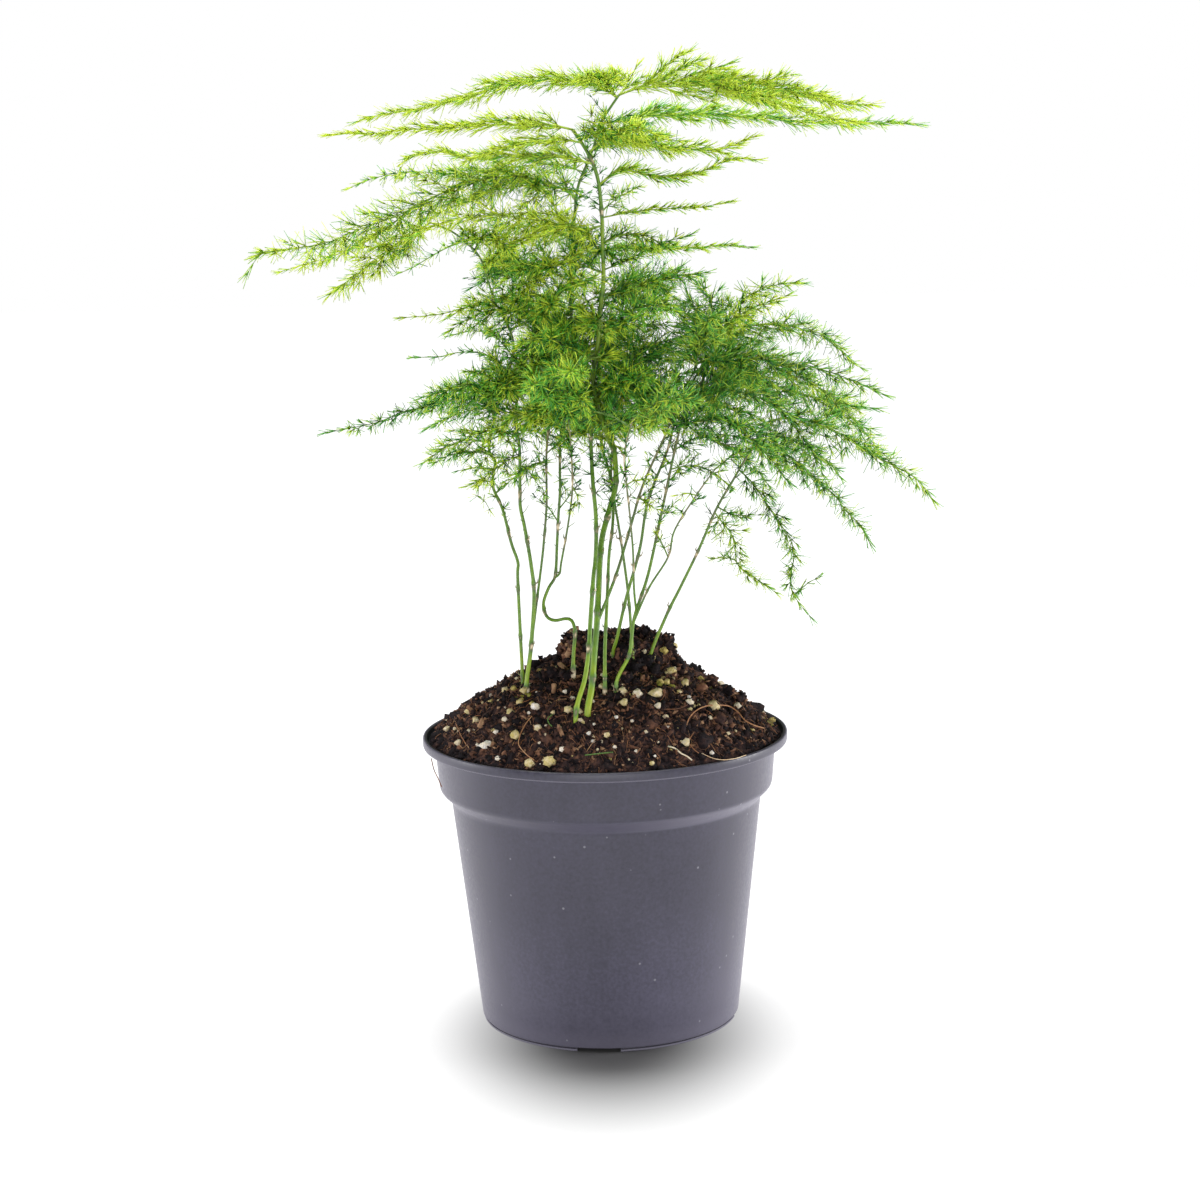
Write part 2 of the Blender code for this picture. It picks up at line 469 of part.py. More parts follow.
def pot_inside(inset):
    """The inner wall from the lip down to the floor, a little further in by inset."""
    lip, step_top, step_foot = wall_heights()
    share, rise = STEP_CORNERS[0]
    step_corner = BODY_TOP_RADIUS + share * (COLLAR_LOW_RADIUS - BODY_TOP_RADIUS)
    lip_inner = RIM_RADIUS - LIP_WIDTH - inset
    return [
        (lip_inner, POT_HEIGHT - 0.12 * LIP_HEIGHT),
        (lip_inner - 0.1 * LIP_WIDTH, lip + 0.3 * LIP_HEIGHT),
        (COLLAR_TOP_RADIUS - WALL - inset, lip - LIP_FLARE + WALL),
        (COLLAR_LOW_RADIUS - WALL - inset, step_top + 0.5 * WALL),
        (step_corner - WALL - inset, step_foot + rise * STEP_HEIGHT + 0.5 * WALL),
        (BODY_TOP_RADIUS - WALL - inset, step_foot + 0.5 * WALL),
        (BASE_RADIUS - WALL - inset, FLOOR + inset),
    ]


def cutter(made):
    made.hide_render = True
    made.display_type = "WIRE"
    return made


def add_boolean(made, operation, operands, solver="EXACT"):
    """Joins or cuts an object with all the operands at once, and then removes them."""
    group = bpy.data.collections.new(made.name + "_operands")
    bpy.context.scene.collection.children.link(group)
    for operand in operands:
        bpy.context.scene.collection.objects.unlink(operand)
        group.objects.link(operand)
    modifier = made.modifiers.new("operands", "BOOLEAN")
    modifier.operation = operation
    modifier.operand_type = "COLLECTION"
    modifier.collection = group
    modifier.solver = solver
    finished = bpy.data.meshes.new_from_object(made.evaluated_get(bpy.context.evaluated_depsgraph_get()))
    made.modifiers.clear()
    made.data = finished
    for operand in operands:
        bpy.data.objects.remove(operand)
    bpy.data.collections.remove(group)


def add_pot():
    profile = [(0.0, 0.0), *pot_outside(), *pot_inside(0.0), (0.0, FLOOR)]
    material = make_material("pot_plastic", (0.105, 0.098, 0.130), 0.42)
    pot = make_object("pot", *turned(profile, POT_SIDES), material)
    cutters = []
    for index in range(NOTCH_COUNT):
        turn = NOTCH_TURN + 2 * math.pi * index / NOTCH_COUNT
        out = np.array([math.cos(turn), math.sin(turn), 0.0])
        side = np.array([-out[1], out[0], 0.0])
        corners = []
        for reach in (BASE_RADIUS - NOTCH_DEPTH, BASE_RADIUS + NOTCH_DEPTH):
            for height, width in ((-NOTCH_HEIGHT, 1 + NOTCH_TAPER), (NOTCH_HEIGHT, 1 - NOTCH_TAPER)):
                for half in (-0.5, 0.5):
                    corners.append(out * reach + side * (half * width * NOTCH_WIDTH) + UP * height)
        faces = [(0, 2, 3, 1), (4, 5, 7, 6), (0, 1, 5, 4), (2, 6, 7, 3), (0, 4, 6, 2), (1, 3, 7, 5)]
        cutters.append(cutter(make_object(f"notch_{index}", corners, faces)))
    for index in range(DRAIN_COUNT):
        turn = 2 * math.pi * (index + 0.5) / DRAIN_COUNT
        centre = DRAIN_CIRCLE * np.array([math.cos(turn), math.sin(turn), 0.0])
        ends = np.array([centre - UP * FLOOR, centre + UP * (2 * FLOOR)])
        cutters.append(cutter(make_object(f"drain_{index}", *tube(ends, [DRAIN_RADIUS] * 2, DRAIN_SIDES))))
    add_boolean(pot, "DIFFERENCE", cutters)
    return pot


def soil_lumps():
    """Seeded lumps of the peat's surface: place, reach and rise."""
    draw = random.Random(7)
    lumps = []
    for _ in range(LUMP_COUNT):
        turn = draw.uniform(0, 2 * math.pi)
        reach = RIM_RADIUS * 0.86 * math.sqrt(draw.random())
        lumps.append((reach * math.cos(turn), reach * math.sin(turn), draw.uniform(*LUMP_REACH),
                      draw.uniform(*LUMP_RISE)))
    return lumps


def soil_height(x, y, lumps):
    """The height of the peat: a round mound, a steep clod on its top, and lumps all over."""
    edge = POT_HEIGHT - SOIL_EDGE_DROP
    share = min(1.0, math.hypot(x, y) / (RIM_RADIUS - LIP_WIDTH - GAP))
    height = edge + MOUND_RISE * (1 - share ** 2)
    turn = math.atan2(y - CLOD_CENTRE[1], x - CLOD_CENTRE[0])
    wobble = 1 + 0.09 * math.sin(3 * turn + 0.6) + 0.06 * math.sin(5 * turn + 2.1)
    away = math.hypot((x - CLOD_CENTRE[0]) / CLOD_REACH[0], (y - CLOD_CENTRE[1]) / CLOD_REACH[1]) / wobble
    slope = min(1.0, max(0.0, (CLOD_EDGE[1] - away) / (CLOD_EDGE[1] - CLOD_EDGE[0])))
    height += CLOD_RISE * slope * slope * (3 - 2 * slope)
    fade = 1 - share ** 6
    for lump_x, lump_y, reach, rise in lumps:
        height += fade * rise * math.exp(-((x - lump_x) ** 2 + (y - lump_y) ** 2) / reach ** 2)
    return height


def add_soil(cutters):
    """The peat fills the pot a small gap inside its wall, with a hole for each stem's foot."""
    lumps = soil_lumps()
    wall = pot_inside(GAP)[1:]
    bottom = (wall[-1][0], FLOOR + GAP)
    profile = [(0.0, bottom[1]), bottom, *reversed(wall[:-1])]
    vertices, faces = turned(profile, POT_SIDES)
    edge_radius = wall[0][0]
    below = list(range(len(vertices) - POT_SIDES, len(vertices)))
    for ring in range(SOIL_RINGS):
        radius = edge_radius * (1 - (ring + 0.35) / SOIL_RINGS)
        start = len(vertices)
        for index in range(POT_SIDES):
            turn = 2 * math.pi * index / POT_SIDES
            x, y = radius * math.cos(turn), radius * math.sin(turn)
            vertices.append(np.array([x, y, soil_height(x, y, lumps)]))
        above = [start + index for index in range(POT_SIDES)]
        for index in range(POT_SIDES):
            following = (index + 1) % POT_SIDES
            faces.append((below[index], below[following], above[following]))
            faces.append((below[index], above[following], above[index]))
        below = above
    add_cap(vertices, faces, below, np.array([0.0, 0.0, soil_height(0.0, 0.0, lumps)]), False)
    soil = make_object("soil", vertices, faces, make_material("peat", (0.030, 0.020, 0.015), 0.95))
    add_boolean(soil, "DIFFERENCE", cutters)
    return soil


def thinned(points):
    """The points of a curve that a plain tube needs: closer where it bends."""
    along, ways = lengths_along(points), tangents(points)
    kept = [0]
    for index in range(1, len(points) - 1):
        turned_by = math.acos(max(-1.0, min(1.0, float(ways[index] @ ways[kept[-1]]))))
        if turned_by > STEM_TURN or along[index] - along[kept[-1]] > STEM_STRETCH:
            kept.append(index)
    if along[-1] - along[kept[-1]] < CURVE_STEP:
        kept.pop()
    return points[kept + [len(points) - 1]]


def tuft_stations(length, first):
    """Where a twig's tufts start, from its root to its tip."""
    last = length - TUFT_LENGTH - TIP_LENGTH
    count = max(1, round((last - first) / TUFT_PITCH) + 1)
    if count == 1:
        return [last]
    return [first + (last - first) * index / (count - 1) for index in range(count)]


def needled_line(curve, first):
    """The corners of a twig's slim core: its root, both ends of each tuft, and its tip."""
    along = lengths_along(curve)
    places = [0.0]
    for place in tuft_stations(along[-1], first):
        places += [place, place + TUFT_LENGTH]
    return curve_at(curve, along, places + [along[-1]])


def nearest_place(line, height):
    """The point of a line of straight pieces that is seen at a height, in millimetres."""
    fine = curve_at(line, lengths_along(line), np.arange(0.0, lengths_along(line)[-1], CURVE_STEP / 3))
    return fine[np.argmin(abs(height_seen(fine) - height))]


def all_routes():
    """Every stem's and frond's line of straight pieces, and the node it belongs to."""
    lines, nodes = {}, {}
    for name, (parent, fork_height, _, _, route) in STEMS.items():
        knots = [in_space(point) for point in route]
        if parent:
            knots.insert(0, nearest_place(lines[parent], fork_height))
        else:
            knots.insert(0, knots[0] - UP * ROOT_DEPTH)
        lines[name] = thinned(smooth_curve(knots, CURVE_STEP))
        nodes[name] = nodes.get(parent, name)
    for name, (parent, place, _, route) in FRONDS.items():
        carrier = lines[parent]
        if place > 1:
            start = nearest_place(carrier, place)
        else:
            along = lengths_along(carrier)
            start = curve_at(carrier, along, [place * along[-1]])[0]
        curve = smooth_curve([start] + [in_space(point) for point in route], CURVE_STEP)
        lines[name] = needled_line(curve, FIRST_TUFT)
        nodes[name] = nodes[parent]
    return lines, nodes


def stem_mesh(name, line, grow=0.0, reach=None):
    """A stem's tube, or a fatter and shorter one that cuts its hole in the peat."""
    along = lengths_along(line)
    radii = np.interp(along, [0.0, along[-1]], [STEMS[name][2] * MM, STEMS[name][3] * MM]) + grow
    if reach:
        line = np.concatenate([line[along < reach], curve_at(line, along, [reach])])
        radii = radii[:len(line)]
        line[0] -= unit(line[1] - line[0]) * grow
    return tube(line, radii, STEM_SIDES)


class Crowd:
    """The straight pieces of foliage placed so far, by node and by twig, to keep new ones clear of them."""

    def __init__(self):
        self.count = 0
        self.starts, self.ends = np.zeros((CROWD_MOST, 3)), np.zeros((CROWD_MOST, 3))
        self.sizes = np.zeros(CROWD_MOST)
        self.nodes, self.twigs = np.zeros(CROWD_MOST, int), np.zeros(CROWD_MOST, int)
        self.numbers = {}

    def number(self, name):
        return self.numbers.setdefault(name, len(self.numbers))

    def add(self, start, end, size, node, twig):
        self.starts[self.count] = start
        self.ends[self.count] = end
        self.sizes[self.count] = size
        self.nodes[self.count] = self.number(node)
        self.twigs[self.count] = self.number(twig)
        self.count += 1

    def gaps(self, start, end, size):
        """The clear distance from one straight piece to each of those placed."""
        starts, ends = self.starts[:self.count], self.ends[:self.count]
        way, ways, between = end - start, ends - starts, start - starts
        length, lengths = float(way @ way), np.einsum("ij,ij->i", ways, ways)
        across = ways @ way
        along_one, along_each = between @ way, np.einsum("ij,ij->i", ways, between)
        spread = np.maximum(length * lengths - across * across, 1e-18)
        one = np.clip((across * along_each - lengths * along_one) / spread, 0, 1)
        each = np.clip((across * one + along_each) / lengths, 0, 1)
        one = np.clip((across * each - along_one) / length, 0, 1)
        nearest = start + one[:, None] * way - starts - each[:, None] * ways
        return np.linalg.norm(nearest, axis=1) - self.sizes[:self.count] - size

    def is_clear(self, start, end, size, node, twig, relatives=()):
        gaps = self.gaps(start, end, size)
        twigs = self.twigs[:self.count]
        other = self.nodes[:self.count] != self.number(node)
        if np.any(gaps[other] < NODE_CLEAR):
            return False
        near = ~other & ~np.isin(twigs, [self.number(name) for name in (twig, *relatives)])
        return not np.any(gaps[near] < NEEDLE_CLEAR)


def side_twig(line, place, sign, reach, draw):
    """One twig that leaves a frond sideways, bends forward and sags a little."""
    along = lengths_along(line)
    start, ahead = curve_at(line, along, [place, place + CURVE_STEP])
    way = unit(ahead - start)
    flat = unit(np.cross(way, UP))
    lift = UP * draw.uniform(*TWIG_LIFT)
    out = unit(way * math.cos(TWIG_ANGLE) + flat * (sign * math.sin(TWIG_ANGLE)) + lift)
    middle = start + out * reach * TWIG_BEND
    end = middle + unit(out + way * TWIG_FORWARD - UP * TWIG_SAG) * reach * (1 - TWIG_BEND)
    return needled_line(smooth_curve([start, middle, end], CURVE_STEP), FIRST_TWIG_TUFT)


def frond_twigs(lines, nodes, crowd):
    """Each frond's main rib and side twigs, as (name, node, line, root radius)."""
    draw = random.Random(23)
    twigs = []
    for name in FRONDS:
        twigs.append((name, nodes[name], lines[name], RACHIS_RADIUS))
        for start, end in zip(lines[name], lines[name][1:]):
            crowd.add(start, end, RACHIS_RADIUS, nodes[name], name)
    for name, (_, _, half_width, _) in FRONDS.items():
        line = lines[name]
        length = lengths_along(line)[-1]
        if half_width < TWIGGED_LEAST:
            continue
        place, sign, count = TWIGGED_SPAN[0] * length, 1, 0
        while place < TWIGGED_SPAN[1] * length:
            reach = half_width * MM * min(1.0, TWIG_TAPER * (1 - place / length)) * draw.uniform(0.8, 1.0)
            twig = side_twig(line, place, sign, reach, draw)
            twig_name = f"{name}_{count}"
            clear = all(crowd.is_clear(start, end, TWIG_RADIUS, nodes[name], twig_name, [name])
                        for start, end in zip(twig[1:], twig[2:]))
            if reach > TWIG_LEAST and clear:
                for start, end in zip(twig[1:], twig[2:]):
                    crowd.add(start, end, TWIG_RADIUS, nodes[name], twig_name)
                twigs.append((twig_name, nodes[name], twig, TWIG_RADIUS))
            place += TWIG_PITCH * draw.uniform(0.85, 1.15) / 2
            sign, count = -sign, count + 1
    return twigs


def needle(vertices, triangle, way, outward, side, twist, reach):
    """The tip of a needle drawn out of one triangle of a tuft, and a point just above its root."""
    middle = sum(vertices[corner] for corner in triangle) / 3
    turn = side * NEEDLE_SPREAD + twist
    lean = NEEDLE_LEAN + side * NEEDLE_STAGGER
    out = outward * math.cos(turn) + np.cross(way, outward) * math.sin(turn)
    tip = middle + (out * math.cos(lean) + way * math.sin(lean)) * reach
    return tip, middle + (tip - middle) * NEEDLE_ROOT


def needled_twig(name, node, line, radius, crowd, draw):
    """A slim three-sided twig with tufts of six needles drawn out of its sides."""
    along = lengths_along(line)
    ways, pairs = frames(line)
    taper = np.interp(along, [0.0, along[1], along[-1]], [radius * ROOT_SLIM, radius, TIP_RADIUS])
    vertices, faces = [], []
    rings = [add_ring(vertices, centre, pair, size, 3)
             for centre, pair, size in zip(line[:-1], pairs, taper)]
    twist = draw.uniform(-NEEDLE_TWIST, NEEDLE_TWIST)
    for index, (low, high) in enumerate(zip(rings, rings[1:])):
        for side in range(3):
            following = (side + 1) % 3
            triangles = ((low[side], low[following], high[side]),
                         (low[following], high[following], high[side]))
            if index % 2 == 0:
                faces.extend(triangles)
                continue
            outward = unit(vertices[low[side]] + vertices[low[following]] - 2 * line[index])
            for triangle, lean_side in zip(triangles, (-1, 1)):
                shorter = 1 - TIP_SHORTER * along[index] / along[-1]
                reach = NEEDLE_LENGTH * draw.uniform(*NEEDLE_JITTER) * shorter
                tip, start = needle(vertices, triangle, ways[index], outward, lean_side, twist, reach)
                if not crowd.is_clear(start, tip, NEEDLE_SIZE, node, name):
                    faces.append(triangle)
                    continue
                crowd.add(start, tip, NEEDLE_SIZE, node, name)
                vertices.append(tip)
                for corner, other in zip(triangle, triangle[1:] + triangle[:1]):
                    faces.append((corner, other, len(vertices) - 1))
    add_cap(vertices, faces, rings[0], line[0], True)
    add_cap(vertices, faces, rings[-1], line[-1], False)
    return vertices, faces


def add_foliage(lines, nodes):
    """Each stem with all that grows on it, joined in one body."""
    crowd = Crowd()
    for name in STEMS:
        for start, end in zip(lines[name], lines[name][1:]):
            crowd.add(start, end, STEMS[name][2] * MM, nodes[name], name)
    draw = random.Random(31)
    operands = {}
    for name, node, line, radius in frond_twigs(lines, nodes, crowd):
        mesh = needled_twig(name, node, line, radius, crowd, draw)
        operands.setdefault(node, []).append(make_object(name, *mesh))
    for name in STEMS:
        if nodes[name] != name:
            operands[nodes[name]].append(make_object(name, *stem_mesh(name, lines[name])))
    for name in STEMS:
        if nodes[name] == name:
            material = make_material(name + "_green", (0.110, 0.270, 0.035), 0.55)
            stem = make_object(name, *stem_mesh(name, lines[name]), material)
            add_boolean(stem, "UNION", operands[name], "MANIFOLD")


def main():
    for old in list(bpy.data.objects):
        bpy.data.objects.remove(old)
    lines, nodes = all_routes()
    add_pot()
    holes = [cutter(make_object("hole_" + name, *stem_mesh(name, lines[name], HOLE_CLEARANCE,
                                                           ROOT_DEPTH + HOLE_ABOVE)))
             for name in STEMS if nodes[name] == name]
    add_soil(holes)
    add_foliage(lines, nodes)


main()
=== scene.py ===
# %% [markdown]
# # A potted asparagus fern, dressed
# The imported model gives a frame: a pot, a mound of peat and ten leafy stems at their real size and place.
# This lesson gives each of them its finish. The camera, the studio and the light come first, then the pot,
# then the peat with all that lies in it, and the foliage last, because it is seen against everything else.

import math
import random

import bpy
import numpy as np
from mathutils import Matrix, Vector, noise


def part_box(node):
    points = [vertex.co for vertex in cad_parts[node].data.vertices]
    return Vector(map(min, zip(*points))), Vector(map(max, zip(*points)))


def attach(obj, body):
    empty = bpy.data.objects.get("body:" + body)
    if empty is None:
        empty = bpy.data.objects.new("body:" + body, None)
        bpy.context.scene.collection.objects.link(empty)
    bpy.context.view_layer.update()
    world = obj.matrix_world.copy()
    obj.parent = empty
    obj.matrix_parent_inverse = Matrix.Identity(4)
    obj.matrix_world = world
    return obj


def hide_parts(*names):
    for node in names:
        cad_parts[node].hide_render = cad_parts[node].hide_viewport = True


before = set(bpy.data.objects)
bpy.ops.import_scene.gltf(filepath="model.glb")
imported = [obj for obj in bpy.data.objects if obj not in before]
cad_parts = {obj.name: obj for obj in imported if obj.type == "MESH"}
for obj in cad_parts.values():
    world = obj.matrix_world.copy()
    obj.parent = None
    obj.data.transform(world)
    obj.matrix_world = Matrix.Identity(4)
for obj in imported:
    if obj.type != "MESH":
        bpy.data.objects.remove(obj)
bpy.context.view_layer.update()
MM = 0.001
UP = np.array([0.0, 0.0, 1.0])
print("nodes:", sorted(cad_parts))

# %% [markdown]
# ## The camera
# The photograph was taken from 0.84 m away with a longish lens, looking about ten degrees down and held a
# little crooked, so the pot's left side sits lower. These values came from fitting a pinhole camera to the
# rim, the collar and the foot. Depth of field stays off, because the real picture is sharp all through.

# %% Set up the camera
SIGHT_FROM = np.array([-0.0007, -0.8359, 0.2866])
SIGHT_DOWN = math.radians(9.97)
SIGHT_ROLL = math.radians(-1.235)
PICTURE_SIDE = 1200
FOCAL_PIXELS = 2595.7
SENSOR = 36.0

camera_data = bpy.data.cameras.new("camera")
camera_data.sensor_width = SENSOR
camera_data.lens = SENSOR * FOCAL_PIXELS / PICTURE_SIDE
camera_data.clip_start = 0.01
camera = bpy.data.objects.new("camera", camera_data)
bpy.context.scene.collection.objects.link(camera)
level = Matrix.Rotation(math.radians(90) - SIGHT_DOWN, 4, "X")
camera.matrix_world = Matrix.Translation(SIGHT_FROM.tolist()) @ level @ Matrix.Rotation(SIGHT_ROLL, 4, "Z")
bpy.context.scene.camera = camera
print("lens:", round(camera_data.lens, 2), "mm")

# %% [markdown]
# ## Small tools for finishes
# Every surface here needs the same few things: a pattern on Object coordinates, a ramp of colours and a
# bump. A material could be wired up node by node, but that hides what it does, so each step gets a short name
# first. The Principled shader stays in each material, where the export can read it.

# %% Name the small steps of a material
def feed(tree, socket, source):
    """A socket takes another node's output, or a value of its own."""
    if hasattr(source, "is_linked"):
        tree.links.new(source, socket)
    else:
        socket.default_value = source


def add_node(tree, kind, feeds=(), **settings):
    """A shader node with its settings and what feeds its sockets, in order or by name."""
    node = tree.nodes.new("ShaderNode" + kind)
    for setting, value in settings.items():
        setattr(node, setting, value)
    for socket, source in feeds.items() if isinstance(feeds, dict) else enumerate(feeds):
        feed(tree, node.inputs[socket], source)
    return node


def screen_colour(red, green, blue):
    """A colour as seen on a screen, 0 to 255, in the linear values that a shader takes."""
    return tuple(value / 255 / 12.92 if value <= 10 else ((value / 255 + 0.055) / 1.055) ** 2.4
                 for value in (red, green, blue)) + (1.0,)


class Paint:
    """A material on the Principled shader, and the steps that lead to its sockets."""

    def __init__(self, name, roughness):
        self.material = bpy.data.materials.new(name)
        self.material.use_nodes = True
        self.tree = self.material.node_tree
        self.shader = self.tree.nodes["Principled BSDF"]
        self.into("Roughness", roughness)

    def into(self, socket, source):
        feed(self.tree, self.shader.inputs[socket], source)

    def add(self, kind, feeds=(), **settings):
        return add_node(self.tree, kind, feeds, **settings)

    def where(self):
        return self.add("TexCoord").outputs["Object"]

    def own(self, name):
        """A value kept on the piece's own points."""
        return self.add("Attribute", attribute_name=name).outputs["Fac"]

    def math(self, operation, first, second):
        return self.add("Math", (first, second), operation=operation).outputs["Value"]

    def plus(self, first, second):
        return self.math("ADD", first, second)

    def times(self, first, second):
        return self.math("MULTIPLY", first, second)

    def span(self, source, low, high, start=0.0, end=1.0):
        """A value carried from low..high to start..end, smoothly, and held outside."""
        return self.add("MapRange", {"Value": source, "From Min": low, "From Max": high, "To Min": start,
                                     "To Max": end}, interpolation_type="SMOOTHSTEP").outputs["Result"]

    def ramp(self, source, stops):
        """A colour read off a ramp by a value; stops are (place, red, green, blue)."""
        ramp = self.add("ValToRGB", (source,))
        points = ramp.color_ramp.elements
        while len(points) < len(stops):
            points.new(1.0)
        for point, (place, *colour) in zip(points, stops):
            point.position, point.color = place, screen_colour(*colour)
        return ramp.outputs["Color"]

    def blend(self, share, under, over):
        """A plain colour laid by a share on the colour under it."""
        return self.add("Mix", {"Factor": share, "A": under, "B": screen_colour(*over)},
                        data_type="RGBA").outputs["Result"]

    def mottle(self, coarse, fine):
        """Patches and grain at these scales, from the shared group."""
        group = self.add("Group", {"Coarse": coarse, "Fine": fine}, node_tree=mottle)
        return group.outputs["Patches"], group.outputs["Grain"]

    def bump(self, height, strength, distance):
        bump = self.add("Bump", {"Height": height, "Strength": strength, "Distance": distance})
        self.into("Normal", bump.outputs["Normal"])


print("steps named")

# %% [markdown]
# One node group does the part that all materials share: it mixes two scales of noise, the slow one for
# patches and the quick one for grain. It gives out only values, so that no material hides inside it.

# %% Build the mottling group
mottle = bpy.data.node_groups.new("mottle", "ShaderNodeTree")
for way, names in (("INPUT", ("Coarse", "Fine")), ("OUTPUT", ("Patches", "Grain"))):
    for name in names:
        mottle.interface.new_socket(name, in_out=way, socket_type="NodeSocketFloat")
enter, leave = mottle.nodes.new("NodeGroupInput"), mottle.nodes.new("NodeGroupOutput")
where = add_node(mottle, "TexCoord").outputs["Object"]
for scale, detail, result in (("Coarse", 3.0, "Patches"), ("Fine", 2.0, "Grain")):
    pattern = add_node(mottle, "TexNoise", {"Vector": where, "Scale": enter.outputs[scale], "Detail": detail})
    mottle.links.new(pattern.outputs["Fac"], leave.inputs[result])
print("group:", mottle.name)

# %% [markdown]
# ## The studio
# The plant stands on a white sweep under broad soft light. The main light hangs high behind it, so the pot
# throws its soft shadow towards the viewer, as in the photograph. A floor that is only lit would turn grey
# away from the lamps, so this one glows, all but an oval round the pot's foot. That dark oval is a painted
# shadow on the floor's own dark grey, and it keeps the shadow as small and as soft as the photograph shows it.
# Small lights at both sides put the pale sheen on the pot's flanks, and a broad low one in front fills the face.

# %% Lay the floor and hang the lights
FLOOR_SIDE = 8.0
# the painted shadow, a dark oval where the floor doesn't glow: its centre, its half width and half depth, and
# the steps in which the glow comes back: from this share of those, to this share, by this much
SHADOW_OVAL_PLACE, SHADOW_OVAL_REACH = (0.0, -0.0245, 0.0), (0.0385, 0.065, 1.0)
SHADOW_OVAL_FADES = ((0.33, 1.68, 0.86), (1.2, 3.0, 0.14))
# the floor's own grey, dark so that the painted shadow shows dark
FLOOR_SHADE = 0.2
AMBIENT = 0.13
LIGHTS = {
    # name: (place, aimed at, width, depth, power in watts)
    "back_light": ((0.0, 0.22, 1.5), (0.0, -0.02, 0.05), 0.6, 0.6, 32.0),
    "left_light": ((-1.25, 0.10, 0.26), (0.0, 0.0, 0.15), 0.5, 0.4, 6.5),
    "right_light": ((1.25, 0.10, 0.26), (0.0, 0.0, 0.15), 0.5, 0.4, 10.5),
    "front_light": ((0.0, -1.9, 0.24), (0.0, 0.0, 0.17), 1.8, 0.36, 18.5),
}


def only(*objects):
    """Nothing else is selected, and the last of these is active."""
    if bpy.context.object and bpy.context.object.mode != "OBJECT":
        bpy.ops.object.mode_set(mode="OBJECT")
    bpy.ops.object.select_all(action="DESELECT")
    for chosen in objects:
        chosen.select_set(True)
        bpy.context.view_layer.objects.active = chosen


only()
bpy.ops.mesh.primitive_plane_add(size=FLOOR_SIDE, location=(0, 0, 0))
floor = bpy.context.object
floor.name = "floor"
paper = Paint("floor_paint", 0.9)
paper.into("Base Color", (FLOOR_SHADE, FLOOR_SHADE, FLOOR_SHADE, 1))
paper.into("Specular IOR Level", 0.0)
paper.into("Emission Color", (1, 1, 1, 1))
# painted shadow: the floor glows in these steps outside the oval and not inside it
away = paper.add("VectorMath", (paper.where(), SHADOW_OVAL_PLACE), operation="SUBTRACT").outputs["Vector"]
away = paper.add("VectorMath", (away, SHADOW_OVAL_REACH), operation="DIVIDE").outputs["Vector"]
away = paper.add("VectorMath", (away,), operation="LENGTH").outputs["Value"]
paper.into("Emission Strength", paper.plus(*(paper.span(away, low, high, 0.0, glow)
                                             for low, high, glow in SHADOW_OVAL_FADES)))
floor.data.materials.append(paper.material)

for name, (place, target, width, depth, power) in LIGHTS.items():
    light_data = bpy.data.lights.new(name, "AREA")
    light_data.shape = "RECTANGLE"
    light_data.size, light_data.size_y = width, depth
    light_data.energy = power
    light = bpy.data.objects.new(name, light_data)
    light.location = place
    light.rotation_euler = (Vector(target) - Vector(place)).to_track_quat("-Z", "Y").to_euler()
    bpy.context.scene.collection.objects.link(light)

world = bpy.data.worlds.new("studio")
world.use_nodes = True
tree, background = world.node_tree, world.node_tree.nodes["Background"]
# the backdrop is white where the camera sees it, and lights the plant less than that
rays = add_node(tree, "LightPath").outputs["Is Camera Ray"]
strength = add_node(tree, "MapRange", {"Value": rays, "To Min": AMBIENT}).outputs["Result"]
feed(tree, background.inputs["Color"], (1.0, 1.0, 1.0, 1.0))
feed(tree, background.inputs["Strength"], strength)
bpy.context.scene.world = world
bpy.context.scene.view_settings.view_transform = "Standard"
bpy.context.scene.view_settings.look = "None"
print("lights:", len(LIGHTS))

# %% [markdown]
# ## The pot
# The real pot is one thin shell of moulded plastic: a tapered wall, a step out to a collar, a narrow lip and
# a foot with four shallow notches. It could be a turned profile, or a cylinder with cuts. Here one circle is
# drawn up ring by ring, out over the lip and down inside, as the mould itself would be described, and the
# notches and drain holes are cut last. A hundred and sixty sides keep the rim round at this size.

# %% Draw up the pot's wall
POT_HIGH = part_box("pot")[1]
POT_TOP = POT_HIGH[2]
RIM = POT_HIGH[0]
POT_SIDES = 160
# (radius, height) in millimetres, from the foot up the outside, over the lip and down to the inner floor
POT_OUTLINE = [
    (42.0, 0.0), (42.35, 0.15), (42.45, 0.4), (42.4, 0.7), (42.15, 0.85), (42.15, 1.15), (42.55, 1.3),
    (42.85, 1.6), (50.95, 73.4), (51.15, 74.6), (51.7, 75.6),
    (54.1, 77.9), (54.75, 78.8), (55.0, 79.9), (55.95, 91.2), (56.2, 92.1), (56.9, 92.7), (59.5, 93.0),
    (59.9, 93.2), (60.0, 93.6), (60.0, 95.4), (59.85, 95.8), (59.5, 96.0), (59.0, 96.0), (58.7, 95.85),
    (58.55, 95.5), (58.5, 94.3), (58.1, 93.8), (55.5, 93.2), (55.1, 92.4), (54.0, 80.2), (53.6, 79.2),
    (50.7, 76.4), (50.1, 75.2), (41.9, 2.4)]
NOTCHES, NOTCH_TURN = 4, math.radians(-95.6)
NOTCH_RING, NOTCH_SIZE, NOTCH_EDGE = 44.0 * MM, (16.0 * MM, 14.0 * MM, 2.8 * MM), 0.5 * MM
DRAINS, DRAIN_RING, DRAIN_RADIUS, DRAIN_DEPTH = 8, 30.0 * MM, 4.0 * MM, 8.0 * MM
SMOOTH_BELOW = math.radians(32)


def notch_cutter(turn):
    """A block with softened edges, at the foot's edge."""
    only()
    bpy.ops.mesh.primitive_cube_add(size=1)
    block = bpy.context.object
    block.scale = NOTCH_SIZE
    block.rotation_euler[2] = turn
    block.location = (NOTCH_RING * math.cos(turn), NOTCH_RING * math.sin(turn), 0.0)
    bpy.ops.object.transform_apply(location=True, rotation=True, scale=True)
    edge = block.modifiers.new("edge", "BEVEL")
    edge.width, edge.segments = NOTCH_EDGE, 3
    bpy.ops.object.modifier_apply(modifier="edge")
    return block


